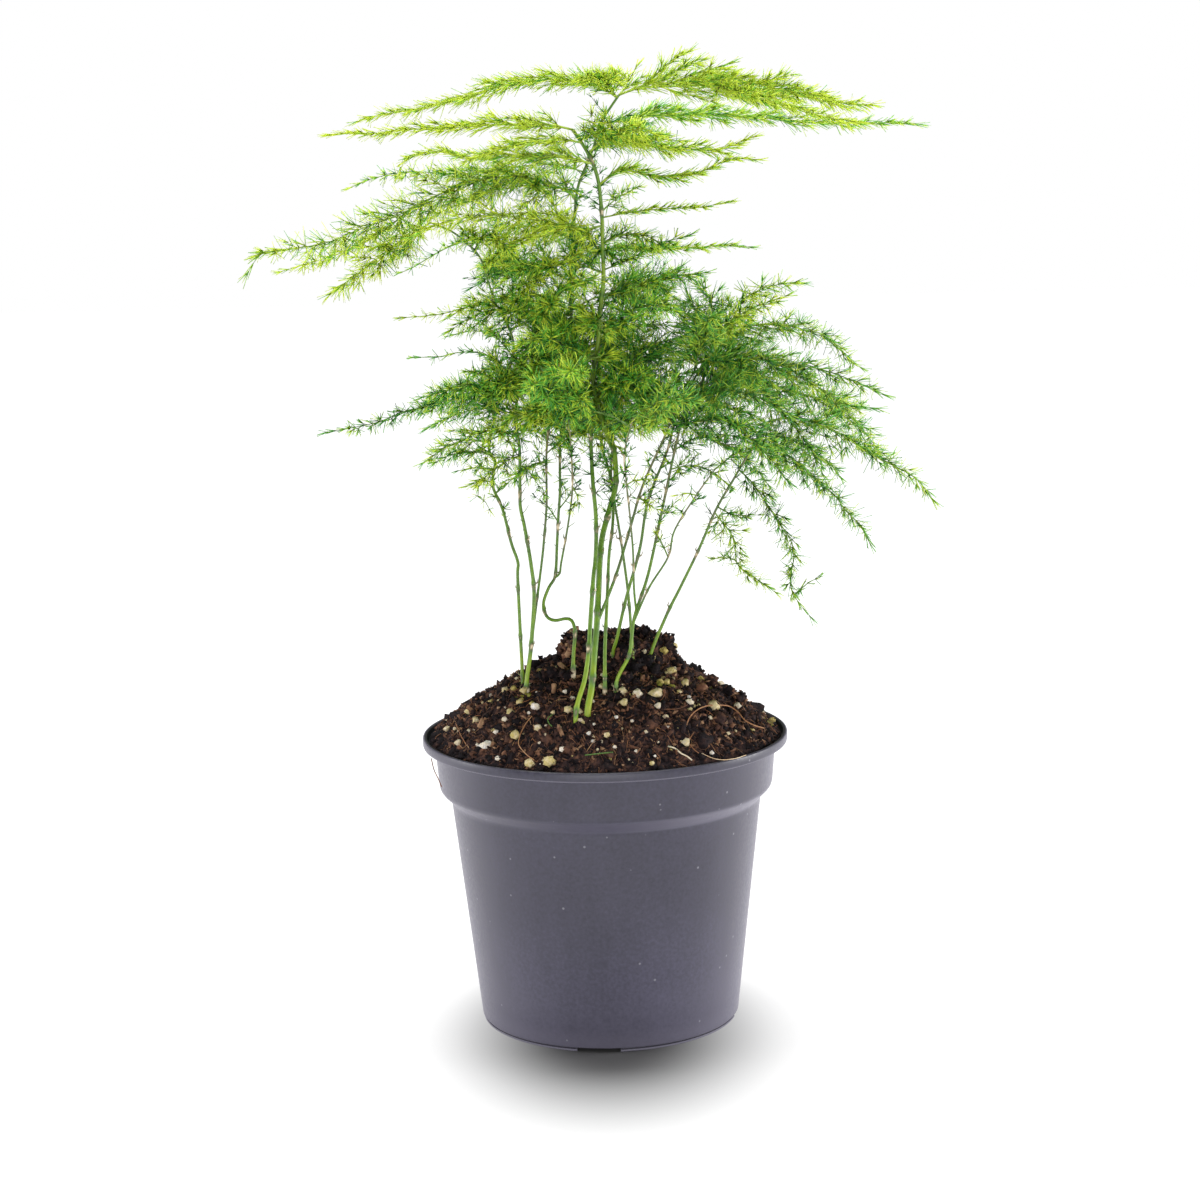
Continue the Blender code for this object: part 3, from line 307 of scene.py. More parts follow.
def drain_cutter(turn):
    only()
    place = (DRAIN_RING * math.cos(turn), DRAIN_RING * math.sin(turn), 0)
    bpy.ops.mesh.primitive_cylinder_add(vertices=32, radius=DRAIN_RADIUS, depth=DRAIN_DEPTH, location=place)
    return bpy.context.object


only()
radius, height = (value * MM for value in POT_OUTLINE[0])
bpy.ops.mesh.primitive_circle_add(vertices=POT_SIDES, radius=radius, fill_type="NGON",
                                  location=(0, 0, height))
pot = bpy.context.object
pot.name = "pot_shell"
bpy.ops.object.mode_set(mode="EDIT")
for next_radius, next_height in POT_OUTLINE[1:]:
    share, rise = next_radius * MM / radius, next_height * MM - height
    bpy.ops.mesh.extrude_region_move(TRANSFORM_OT_translate={"value": (0, 0, rise)})
    bpy.ops.transform.resize(value=(share, share, 1), center_override=(0, 0, next_height * MM))
    radius, height = next_radius * MM, next_height * MM
bpy.ops.mesh.select_all(action="SELECT")
bpy.ops.mesh.normals_make_consistent(inside=False)
bpy.ops.object.mode_set(mode="OBJECT")

cutters = [notch_cutter(NOTCH_TURN + index * 2 * math.pi / NOTCHES) for index in range(NOTCHES)]
cutters += [drain_cutter(2 * math.pi * (index + 0.5) / DRAINS) for index in range(DRAINS)]
for cutter in cutters:
    only(pot)
    step = pot.modifiers.new("cut", "BOOLEAN")
    step.operation = "DIFFERENCE"
    step.object = cutter
    bpy.ops.object.modifier_apply(modifier="cut")
    bpy.data.objects.remove(cutter)
only(pot)
bpy.ops.object.transform_apply(location=True, rotation=True, scale=True)
bpy.ops.object.shade_smooth_by_angle(angle=SMOOTH_BELOW)
print("pot:", len(pot.data.polygons), "faces,", [round(side * 1000, 1) for side in pot.dimensions], "mm")

# %% [markdown]
# The plastic is slate grey with a touch of violet, silky and faintly streaked, with fine pale specks. Painted
# light lies on it too: the wall is painted darker towards the top and paler towards the foot, against the shade
# of the dark floor; a painted reflection lightens the step under the collar, most of all on the right, and a
# painted highlight the lip's lower edge. The foot's bulge is paler, and painted shade darkens the groove above
# the foot and the hollow under the floor. Seen edge on, the wall turns pale with a painted sheen. Water and
# algae leave a dark, glossy, greenish band on the lip's top and inner edge, darkened further by painted shade.
# All that could be painted, but each mark sits at a set height or radius, so the shape itself can say where it
# is.

# %% Finish the pot's plastic
PLASTIC = [(0.25, 50, 48, 62), (0.5, 62, 60, 76), (0.8, 80, 77, 97)]
# colours laid on the plastic: painted light at the foot, specks, painted sheen seen edge on, the wet band with
# painted shade, and painted shade in the hollow
FOOT_PAINTED_LIGHT, SPECK, EDGE_PAINTED_SHEEN, WET_AND_PAINTED_SHADE, HOLLOW_PAINTED_SHADE = ((107, 104, 120), (190, 188, 196), (168, 164, 180), (20, 27, 22),
                                     (20, 19, 24))
MARKS = {
    # name: (from and to this height and how softly, in millimetres, how strongly, colour)
    # painted reflection of the white surroundings on the step under the collar
    "painted_step_reflection": (75.0, 78.4, 0.9, 0.26, (104, 101, 117)),
    # painted highlight along the lip's lower edge
    "painted_lip_highlight": (92.6, 93.3, 0.3, 0.5, (112, 110, 122)),
    # a paler line on the foot's bulge
    "pale_foot_line": (0.1, 0.7, 0.1, 0.7, (128, 125, 140)),
    # painted shade in the groove above the foot
    "painted_groove_shade": (0.8, 1.25, 0.1, 0.7, (18, 17, 26)),
}
plastic = Paint("pot_plastic", 0.42)
patches, grain = plastic.mottle(28.0, 900.0)
where = plastic.where()
east, north, height = plastic.add("SeparateXYZ", (where,)).outputs
drawn_out = plastic.add("VectorMath", (where, (1.0, 1.0, 0.22)), operation="MULTIPLY").outputs["Vector"]
streaks = plastic.add("TexNoise", {"Vector": drawn_out, "Scale": 130.0}).outputs["Fac"]
cloud = plastic.plus(plastic.times(patches, 0.3), plastic.times(streaks, 0.2))
cloud = plastic.plus(cloud, plastic.times(grain, 0.5))
# painted light: the wall is painted darker towards the top and paler towards the foot, against the shade of the
# dark floor
colour = plastic.ramp(plastic.plus(cloud, plastic.span(height, 2 * MM, 70 * MM, 0.14, -0.14)), PLASTIC)
foot_painted_light = plastic.plus(plastic.span(height, 1.5 * MM, 9 * MM, 0.42, 0.0),
                       plastic.span(height, 2 * MM, 28 * MM, 0.30, 0.0))
colour = plastic.blend(foot_painted_light, colour, FOOT_PAINTED_LIGHT)
for name, (low, high, soft, share, mark_colour) in MARKS.items():
    band = plastic.times(plastic.span(height, (low - soft) * MM, low * MM),
                         plastic.span(height, high * MM, (high + soft) * MM, 1.0, 0.0))
    band = plastic.times(band, share)
    # the painted reflection on the step is strongest on the right
    if name == "painted_step_reflection":
        band = plastic.times(band, plastic.span(east, -45 * MM, 45 * MM, 0.0, 2.0))
    colour = plastic.blend(band, colour, mark_colour)
speck = plastic.add("TexVoronoi", {"Vector": where, "Scale": 420.0})
lot = plastic.add("SeparateColor", (speck.outputs["Color"],)).outputs["Red"]
speck_mask = plastic.times(plastic.span(speck.outputs["Distance"], 0.10, 0.22, 1.0, 0.0),
                           plastic.math("GREATER_THAN", lot, 0.94))
colour = plastic.blend(plastic.times(speck_mask, 0.28), colour, SPECK)
# painted sheen: the wall is painted paler where it is seen edge on
facing = plastic.add("LayerWeight").outputs["Facing"]
colour = plastic.blend(plastic.times(plastic.math("POWER", facing, 3.0), 0.55), colour, EDGE_PAINTED_SHEEN)
flat = plastic.add("CombineXYZ", (east, north)).outputs["Vector"]
radius = plastic.add("VectorMath", (flat,), operation="LENGTH").outputs["Value"]
# the lip's top and inner edge: a dark band, part wet algae and part painted shade over the lip's lit top
wet_and_shade = plastic.times(plastic.span(height, 93.0 * MM, 94.0 * MM),
                    plastic.span(radius, 59.2 * MM, 59.6 * MM, 1.0, 0.0))
wet_and_shade = plastic.times(wet_and_shade, plastic.span(patches, 0.30, 0.55, 0.35, 1.0))
colour = plastic.blend(wet_and_shade, colour, WET_AND_PAINTED_SHADE)
# painted shade in the hollow under the floor, inside the foot
under = plastic.times(plastic.span(height, 1.3 * MM, 1.6 * MM, 1.0, 0.0),
                      plastic.span(radius, 41.2 * MM, 41.9 * MM, 1.0, 0.0))
plastic.into("Base Color", plastic.blend(under, colour, HOLLOW_PAINTED_SHADE))
silky = plastic.span(grain, 0.3, 0.7, 0.38, 0.50)
plastic.into("Roughness", plastic.add("Mix", {"Factor": wet_and_shade, "A": silky, "B": 0.28}).outputs["Result"])
plastic.bump(grain, 0.12, 0.0002)
pot.data.materials.clear()
pot.data.materials.append(plastic.material)
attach(pot, "root")
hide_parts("pot")
print("pot finished")

# %% [markdown]
# ## The peat
# Peat in a pot is not a smooth dome: it is heaped, cracked and crumbly, with a steep clod where the old root
# ball stands proud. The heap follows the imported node's own formula, so both have one form. A fine grid is
# folded from a square to a disc, which keeps its faces even, and its points are lifted by several scales of
# noise. Sculpting would do as well, but noise can be repeated exactly.

# %% Give the heap its height
PEAT_RADIUS = 57.9 * MM
PEAT_EDGE = POT_TOP - 1.6 * MM
MOUND_RISE = 24.5 * MM
CLOD_PLACE, CLOD_REACH, CLOD_RISE = (5.0 * MM, 10.0 * MM), (20.0 * MM, 16.5 * MM), 7.6 * MM
LUMPS, LUMP_REACH, LUMP_RISE = 46, (3.0, 6.5), (-1.2, 2.0)
GRID_SIDES = 212
# the heap's outside within the pot, from its edge down to the pot's floor: radius and height in millimetres
BURIED_OUTLINE = ((57.7, 93.4), (54.8, 92.0), (53.4, 80.0), (49.6, 75.0), (41.5, 2.8))
# without a seed of its own the noise's drift would take one from the clock, and each run would differ
noise.seed_set(7)


def lump_list():
    draw = random.Random(7)
    lumps = []
    for _ in range(LUMPS):
        turn = draw.uniform(0, 2 * math.pi)
        reach = RIM * 0.86 * math.sqrt(draw.random())
        lumps.append((reach * math.cos(turn), reach * math.sin(turn), draw.uniform(*LUMP_REACH) * MM,
                      draw.uniform(*LUMP_RISE) * MM))
    return np.array(lumps)


lumps = lump_list()


def from_middle(x, y):
    return np.hypot(x, y) / PEAT_RADIUS


def heap_height(x, y):
    """The plain height of the heap at many places at once."""
    share = np.minimum(1.0, from_middle(x, y))
    height = PEAT_EDGE + MOUND_RISE * (1 - share ** 2)
    across, along = x - CLOD_PLACE[0], y - CLOD_PLACE[1]
    turn = np.arctan2(along, across)
    wobble = 1 + 0.09 * np.sin(3 * turn + 0.6) + 0.06 * np.sin(5 * turn + 2.1)
    away = np.hypot(across / CLOD_REACH[0], along / CLOD_REACH[1]) / wobble
    slope = np.clip((1.12 - away) / 0.36, 0, 1)
    height = height + CLOD_RISE * slope * slope * (3 - 2 * slope)
    fade = 1 - share ** 6
    for lump_x, lump_y, reach, rise in lumps:
        height = height + fade * rise * np.exp(-((x - lump_x) ** 2 + (y - lump_y) ** 2) / reach ** 2)
    return height


def crumble(x, y):
    """How much loose peat stands above or below the plain heap at one place."""
    place = Vector((x * 1000, y * 1000, 0.0))
    drift = noise.noise_vector(place * 0.35) * 1.2
    clods = noise.voronoi((place + drift) / 4.2)[0]
    grains = noise.voronoi((place + drift) / 1.7)[0]
    rise = 1.7 * (0.55 - clods[0]) + 0.9 * noise.noise(place * 0.22) + 0.95 * (0.5 - grains[0])
    rise += 0.55 * noise.noise(place * 1.3) + 0.30 * noise.noise(place * 2.9)
    on_clod = math.exp(-math.hypot((x / MM - 5) / 17, (y / MM - 10) / 14) ** 4)
    rise += on_clod * (2.4 * noise.noise(place * 0.19 + Vector((9.0, 4.0, 2.0))) + 0.8 * (0.5 - clods[0]))
    return max(-3.0, min(2.8, rise)) * MM


def looseness(x, y):
    """The same at many places; towards the pot's wall the peat lies flatter."""
    return np.array([crumble(*place) for place in zip(x, y)]) * (1 - 0.7 * from_middle(x, y) ** 8)


def surface(x, y):
    return heap_height(x, y) + looseness(x, y)


only()
bpy.ops.mesh.primitive_grid_add(x_subdivisions=GRID_SIDES, y_subdivisions=GRID_SIDES, size=2)
peat = bpy.context.object
peat.name = "peat_heap"
points = np.empty(len(peat.data.vertices) * 3)
peat.data.vertices.foreach_get("co", points)
points = points.reshape(-1, 3)
across, along = points[:, 0].copy(), points[:, 1].copy()
points[:, 0] = across * np.sqrt(1 - along ** 2 / 2) * PEAT_RADIUS
points[:, 1] = along * np.sqrt(1 - across ** 2 / 2) * PEAT_RADIUS
loose = looseness(points[:, 0], points[:, 1])
points[:, 2] = heap_height(points[:, 0], points[:, 1]) + loose
peat.data.vertices.foreach_set("co", points.ravel())

bpy.ops.object.mode_set(mode="EDIT")
bpy.ops.mesh.select_all(action="SELECT")
bpy.ops.mesh.region_to_loop()
radius = PEAT_RADIUS
for next_radius, next_height in BURIED_OUTLINE:
    share = next_radius * MM / radius
    bpy.ops.mesh.extrude_region_move()
    bpy.ops.transform.resize(value=(share, share, 0), center_override=(0, 0, next_height * MM))
    radius = next_radius * MM
bpy.ops.mesh.edge_face_add()
bpy.ops.mesh.select_all(action="SELECT")
bpy.ops.mesh.normals_make_consistent(inside=False)
bpy.ops.object.mode_set(mode="OBJECT")
bpy.ops.object.shade_smooth()
print("heap:", len(peat.data.polygons), "faces, top at", round(max(points[:, 2]) * 1000, 1), "mm")

# %% [markdown]
# ## Finishes for what lies in the pot
# Wet peat is nearly black, with rusty and tan fibres showing. The heap and its crumbs share one recipe, and
# each crumb carries its own shade on its points, so that neighbours differ. White grains, moss and roots get
# the same treatment with other ramps; the last step of the roots' ramp is green, for a few green strands.

# %% Mix the peat, grain, moss and root finishes
PEAT_STOPS = [(0.0, 8, 6, 9), (0.24, 28, 20, 24), (0.44, 66, 46, 42), (0.68, 124, 86, 66),
              (1.0, 204, 166, 128)]
GRAIN_STOPS = [(0.0, 118, 98, 40), (0.26, 196, 176, 96), (0.52, 222, 204, 158), (0.8, 242, 230, 212),
               (1.0, 252, 250, 247)]
ROOT_STOPS = [(0.0, 44, 29, 24), (0.3, 104, 66, 44), (0.5, 166, 112, 72), (0.7, 206, 164, 118),
              (0.84, 236, 224, 196), (0.89, 86, 124, 52)]
MOSS_STOPS = [(0.0, 74, 72, 26), (0.5, 132, 130, 42), (1.0, 186, 180, 92)]


def shaded_material(name, stops, roughness, coarse, fine, bump, own, shine=None):
    """A ramp read by a piece's own shade, by this share, and by patches of noise for the rest."""
    paint = Paint(name, roughness)
    patches, grain = paint.mottle(coarse, fine)
    mixed = paint.plus(paint.times(paint.own("shade"), own),
                       paint.times(paint.span(patches, 0.28, 0.72), 1 - own))
    paint.into("Base Color", paint.ramp(mixed, stops))
    paint.bump(grain, bump, 0.0006)
    if shine is not None:
        paint.into("Specular IOR Level", shine)
    return paint.material


# loose peat has hardly any shine; more would turn its black to grey
peat_dark = shaded_material("peat_dark", PEAT_STOPS, 0.82, 240.0, 1500.0, 0.9, 0.65, shine=0.2)
peat_crumb = shaded_material("peat_crumb", PEAT_STOPS, 0.78, 500.0, 1700.0, 0.8, 0.8, shine=0.2)
white_grain = shaded_material("white_grain", GRAIN_STOPS, 0.6, 900.0, 2200.0, 1.0, 0.72)
root_skin = shaded_material("root_skin", ROOT_STOPS, 0.6, 300.0, 1500.0, 0.3, 0.9)
moss_green = shaded_material("moss_green", MOSS_STOPS, 0.8, 500.0, 2400.0, 0.8, 0.7)


def finish(piece, material, smooth=True):
    """The finish and the body it rides on of a piece."""
    piece.data.materials.clear()
    piece.data.materials.append(material)
    if smooth:
        piece.data.shade_smooth()
    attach(piece, "root")
    print(piece.name, len(piece.data.polygons), "faces")


draws = np.random.default_rng(5)
# pits are dark and crests paler, and the outermost ring darkens towards the wall: wet peat there, with painted
# shade by the lip
values = np.full(len(peat.data.vertices), 0.20)
values[:len(loose)] = np.clip(0.26 + np.clip(loose / MM, -2.0, 0.9) * 0.12
                              + draws.normal(0, 0.12, len(loose)), 0, 1)
values[:len(loose)] *= np.clip((0.995 - from_middle(points[:, 0], points[:, 1])) / 0.03, 0.15, 1)
shade = peat.data.attributes.new("shade", "FLOAT", "POINT")
shade.data.foreach_set("value", values)
finish(peat, peat_dark)
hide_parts("soil")

# %% [markdown]
# ## Crumbs, grains and chips
# What lies loose is modelled once and then strewn: a block knocked out of shape for the crumbs,
# rounder balls for the clods, the white grains and the moss, and a split flake for the bark. Each copy gets
# its own size, turn and shade, and all copies of a kind become one mesh. A particle system would be quicker
# to set up, but it isn't a mesh, and its places could not be checked against the heap.

# %% Model one of each
def mesh_arrays(piece):
    """A piece's points and triangles as arrays; the piece itself is removed."""
    only(piece)
    bpy.ops.object.mode_set(mode="EDIT")
    bpy.ops.mesh.select_all(action="SELECT")
    bpy.ops.mesh.quads_convert_to_tris()
    bpy.ops.mesh.normals_make_consistent(inside=False)
    bpy.ops.object.mode_set(mode="OBJECT")
    corners = np.array([list(vertex.co) for vertex in piece.data.vertices])
    triangles = np.array([list(face.vertices) for face in piece.data.polygons])
    bpy.data.objects.remove(piece)
    return corners, triangles


def knocked(seed, rough, block=False):
    """A block or a ball about 1 in radius, its points knocked about."""
    only()
    if block:
        bpy.ops.mesh.primitive_cube_add(size=1.5, location=(0, 0, 0))
    else:
        bpy.ops.mesh.primitive_ico_sphere_add(subdivisions=2, radius=1, location=(0, 0, 0))
    bpy.ops.object.mode_set(mode="EDIT")
    bpy.ops.mesh.select_all(action="SELECT")
    bpy.ops.transform.vertex_random(offset=rough, uniform=0.6, normal=0.4, seed=seed)
    bpy.ops.object.mode_set(mode="OBJECT")
    return mesh_arrays(bpy.context.object)


def split_chip():
    """A flake of bark: a flat block, bevelled and knocked out of true."""
    only()
    bpy.ops.mesh.primitive_cube_add(size=2, location=(0, 0, 0))
    bpy.ops.object.mode_set(mode="EDIT")
    bpy.ops.mesh.select_all(action="SELECT")
    bpy.ops.transform.resize(value=(1.0, 0.55, 0.22), center_override=(0, 0, 0))
    bpy.ops.mesh.bevel(offset=0.12, segments=1, affect="EDGES")
    bpy.ops.transform.vertex_random(offset=0.16, uniform=0.5, normal=0.2, seed=4)
    bpy.ops.object.mode_set(mode="OBJECT")
    return mesh_arrays(bpy.context.object)


crumb_shapes = [knocked(seed, 0.5, block=True) for seed in (1, 2, 3, 4, 11, 12)]
clod_shapes = [knocked(seed, 0.34) for seed in (5, 6, 7)]
grain_shapes = [knocked(seed, 0.27) for seed in (8, 9, 10)]
chip_shape = split_chip()
print("crumb:", len(crumb_shapes[0][1]), "faces; clod and grain:", len(grain_shapes[0][1]),
      "faces; chip:", len(chip_shape[1]), "faces")

# %% [markdown]
# Loose peat is mostly crumbs below a millimetre, with some larger clods, flakes and chips of bark between
# them. A particle system would scatter them quickly, but the library takes only meshes. So the copies are
# placed by arrays of numbers and gathered to one piece, with a value on every point that says how pale it
# is. The clods that stand out in the photograph are set by the line of sight through their pixel.

# %% Strew them over the heap
class Heap:
    """Meshes gathered to one piece, with one value of each name on every point."""

    def __init__(self):
        self.points, self.faces, self.values, self.count = [], [], {}, 0

    def add(self, points, faces, **values):
        self.points.append(points)
        self.faces.append(faces + self.count)
        for name, value in values.items():
            self.values.setdefault(name, []).append(np.broadcast_to(value, len(points)))
        self.count += len(points)

    def piece(self, name):
        points, faces = np.concatenate(self.points), np.concatenate(self.faces)
        mesh = bpy.data.meshes.new(name)
        mesh.vertices.add(len(points))
        mesh.vertices.foreach_set("co", points.astype(np.float32).ravel())
        mesh.loops.add(faces.size)
        mesh.loops.foreach_set("vertex_index", faces.astype(np.int32).ravel())
        mesh.polygons.add(len(faces))
        mesh.polygons.foreach_set("loop_start", np.arange(0, faces.size, 3, dtype=np.int32))
        mesh.update(calc_edges=True)
        for value_name, parts in self.values.items():
            stored = mesh.attributes.new(value_name, "FLOAT", "POINT")
            stored.data.foreach_set("value", np.concatenate(parts).astype(np.float32))
        made = bpy.data.objects.new(name, mesh)
        bpy.context.scene.collection.objects.link(made)
        return made


def random_turns(count):
    """Evenly spread random rotations."""
    q = draws.normal(size=(count, 4))
    w, x, y, z = (q / np.linalg.norm(q, axis=1)[:, None]).T
    return np.stack([1 - 2 * (y * y + z * z), 2 * (x * y - z * w), 2 * (x * z + y * w),
                     2 * (x * y + z * w), 1 - 2 * (x * x + z * z), 2 * (y * z - x * w),
                     2 * (x * z - y * w), 2 * (y * z + x * w), 1 - 2 * (x * x + y * y)],
                    axis=1).reshape(-1, 3, 3)


def strew(heap, shape, places, sizes, shades, turns=None):
    """Copies of a shape, each sized along its own axes, turned and placed."""
    corners, triangles = shape
    turns = random_turns(len(places)) if turns is None else turns
    copies = np.einsum("nij,nkj->nki", turns, corners[None] * sizes[:, None, :]) + places[:, None, :]
    offsets = (np.arange(len(places)) * len(corners))[:, None, None]
    heap.add(copies.reshape(-1, 3), (triangles[None] + offsets).reshape(-1, 3),
             shade=np.repeat(shades, len(corners)))


def strewn_places(count, reach, sink):
    """Random places over the heap, sunk in by so much."""
    turn = draws.uniform(0, 2 * math.pi, count)
    away = reach * np.sqrt(draws.uniform(0, 1, count))
    x, y = away * np.cos(turn), away * np.sin(turn)
    return np.stack([x, y, surface(x, y) - sink], axis=1)


# the heap lies between these distances from the camera
SIGHT_REACH, SIGHT_STEPS = (0.70, 0.95), 1200


def on_peat(pixel_x, pixel_y):
    """Where the line of sight through a pixel of the photograph meets the heap."""
    ahead = ((pixel_x - PICTURE_SIDE / 2) / FOCAL_PIXELS, -(pixel_y - PICTURE_SIDE / 2) / FOCAL_PIXELS, -1)
    way = np.array(camera.matrix_world.to_3x3() @ Vector(ahead))
    line = SIGHT_FROM + way * np.linspace(*SIGHT_REACH, SIGHT_STEPS)[:, None]
    inside = np.hypot(line[:, 0], line[:, 1]) < PEAT_RADIUS
    below = inside & (line[:, 2] < heap_height(line[:, 0], line[:, 1]) + 0.5 * MM)
    return line[np.argmax(below)] if below.any() else None


def spread_of_sizes(middle, spread, low, high, count):
    """Sizes in metres, most of them small and a few large, as heaps of broken bits have."""
    return np.clip(draws.lognormal(middle, spread, count), low, high)[:, None] * MM


CRUMBS, FLAKES, CLOD_CRUMBS, SMALL_CLODS, GRAINS, CHIPS, CLINGING = 7800, 2600, 1300, 300, 260, 200, 18
crumbs = Heap()
for shape in crumb_shapes:
    count = CRUMBS // len(crumb_shapes)
    size = spread_of_sizes(-0.55, 0.45, 0.22, 1.7, count)
    places = strewn_places(count, PEAT_RADIUS - 1.3 * MM, size[:, 0] * 0.15)
    strew(crumbs, shape, places, size * draws.uniform(0.4, 1.3, (count, 3)), draws.beta(1.1, 3.2, count))
    # thin flakes and splinters, redder and paler, lie on top
    count = FLAKES // len(crumb_shapes)
    size = draws.uniform(0.5, 1.5, (count, 1)) * MM
    size = size * draws.uniform((0.9, 0.2, 0.15), (1.5, 0.6, 0.35), (count, 3))
    strew(crumbs, shape, strewn_places(count, PEAT_RADIUS - 2.5 * MM, -0.2 * MM), size,
          draws.beta(2.4, 2.2, count))
    # the clod on top is crumblier still
    count = CLOD_CRUMBS // len(crumb_shapes)
    x, y = (draws.normal(middle, reach * 0.45, count) for middle, reach in zip(CLOD_PLACE, CLOD_REACH))
    places = np.stack([x, y, surface(x, y) + 0.1 * MM], axis=1)
    strew(crumbs, shape, places, draws.uniform(0.3, 1.2, (count, 3)) * MM, draws.beta(1.1, 3.2, count))
for shape in clod_shapes:
    count = SMALL_CLODS // len(clod_shapes)
    size = spread_of_sizes(0.35, 0.40, 0.8, 3.4, count)
    places = strewn_places(count, PEAT_RADIUS - 4.5 * MM, size[:, 0] * 0.35)
    strew(crumbs, shape, places, size * draws.uniform(0.5, 1.2, (count, 3)), draws.beta(1.4, 4.0, count))
# clods seen along the heap's top edge: pixel, size in millimetres, shade
TOP_CLODS = [
    ((571, 637), 3.2, 0.10), ((579, 633), 2.4, 0.25), ((590, 633), 2.6, 0.15), ((567, 647), 3.6, 0.55),
    ((577, 646), 3.2, 0.65), ((601, 637), 2.2, 0.10), ((627, 636), 2.8, 0.08), ((640, 633), 3.8, 0.05),
    ((645, 630), 3.0, 0.12), ((652, 640), 4.0, 0.05), ((661, 640), 3.0, 0.15), ((668, 636), 2.4, 0.10),
    ((668, 648), 2.8, 0.25), ((633, 645), 3.0, 0.02), ((624, 650), 3.2, 0.10), ((678, 664), 3.0, 0.12),
    ((692, 670), 3.4, 0.05), ((688, 677), 3.0, 0.20), ((557, 660), 2.6, 0.15), ((547, 664), 3.6, 0.25),
    ((535, 668), 3.4, 0.10), ((522, 676), 2.8, 0.20), ((508, 684), 2.4, 0.10), ((712, 678), 2.4, 0.30),
    ((728, 688), 2.4, 0.10), ((740, 694), 2.6, 0.25), ((645, 662), 4.4, 0.02), ((636, 668), 3.8, 0.05),
    ((655, 673), 3.4, 0.10), ((600, 648), 3.0, 0.05), ((590, 650), 3.0, 0.20), ((553, 676), 4.0, 0.15),
    ((566, 678), 3.6, 0.10), ((612, 668), 3.0, 0.12), ((626, 680), 3.2, 0.10), ((478, 700), 2.4, 0.20)]
CLOD_SHAPE = np.array([[1.0, 0.8, 0.7]]) * 0.86
HIDDEN_BY, HIDDEN_RISE = 9, 2.0 * MM
for index, (pixel, size, shade) in enumerate(TOP_CLODS):
    place = on_peat(*pixel)
    if place is None:
        # it stands against the sky: so many pixels lower the heap is met, and the clod rises from there
        place = on_peat(pixel[0], pixel[1] + HIDDEN_BY) + UP * HIDDEN_RISE
    strew(crumbs, clod_shapes[index % 3], place[None], CLOD_SHAPE * size * MM, np.array([shade]))
    # crumbs cling to it all round
    ways = draws.normal(size=(CLINGING, 3))
    ways = ways / np.linalg.norm(ways, axis=1)[:, None] * (1.0, 0.8, 0.75)
    strew(crumbs, crumb_shapes[index % 6], place + ways * size * MM * draws.uniform(0.7, 1.0, (CLINGING, 1)),
          draws.uniform(0.3, 1.0, (CLINGING, 3)) * MM, 0.6 * shade + draws.beta(1.1, 3.6, CLINGING))
finish(crumbs.piece("peat_crumbs"), peat_crumb, smooth=False)

# (pixel, size in millimetres, shade) of the chips that stand out
MARKED_CHIPS = [((572, 650), 3.4, 0.85), ((585, 660), 2.2, 0.7), ((741, 690), 3.0, 0.75),
                ((620, 655), 2.0, 0.6), ((700, 690), 2.4, 0.7), ((564, 669), 2.4, 0.95),
                ((554, 690), 1.6, 0.85), ((560, 733), 2.2, 0.8), ((482, 725), 2.0, 0.85)]
chips = Heap()
size = spread_of_sizes(0.1, 0.45, 0.5, 2.6, CHIPS)
strew(chips, chip_shape, strewn_places(CHIPS, PEAT_RADIUS - 4 * MM, -0.15 * MM),
      size * draws.uniform((0.8, 0.4, 0.5), (1.3, 1.1, 1.0), (CHIPS, 3)), draws.beta(2.0, 2.4, CHIPS))
for pixel, size, tone in MARKED_CHIPS:
    place = on_peat(*pixel)
    if place is not None:
        strew(chips, chip_shape, place[None] + UP * 0.4 * MM, np.full((1, 3), size * MM), np.array([tone]))
finish(chips.piece("bark_chips"), peat_crumb, smooth=False)

# %% [markdown]
# ## The white grains
# Light mineral grains keep the peat airy. They are rounded, and white where they are clean or yellow-green
# where algae grow on them. Small ones could be strewn everywhere, but the eye knows the large ones by
# place, so these are set by their pixel, width and shade, and only the small ones are left to chance.

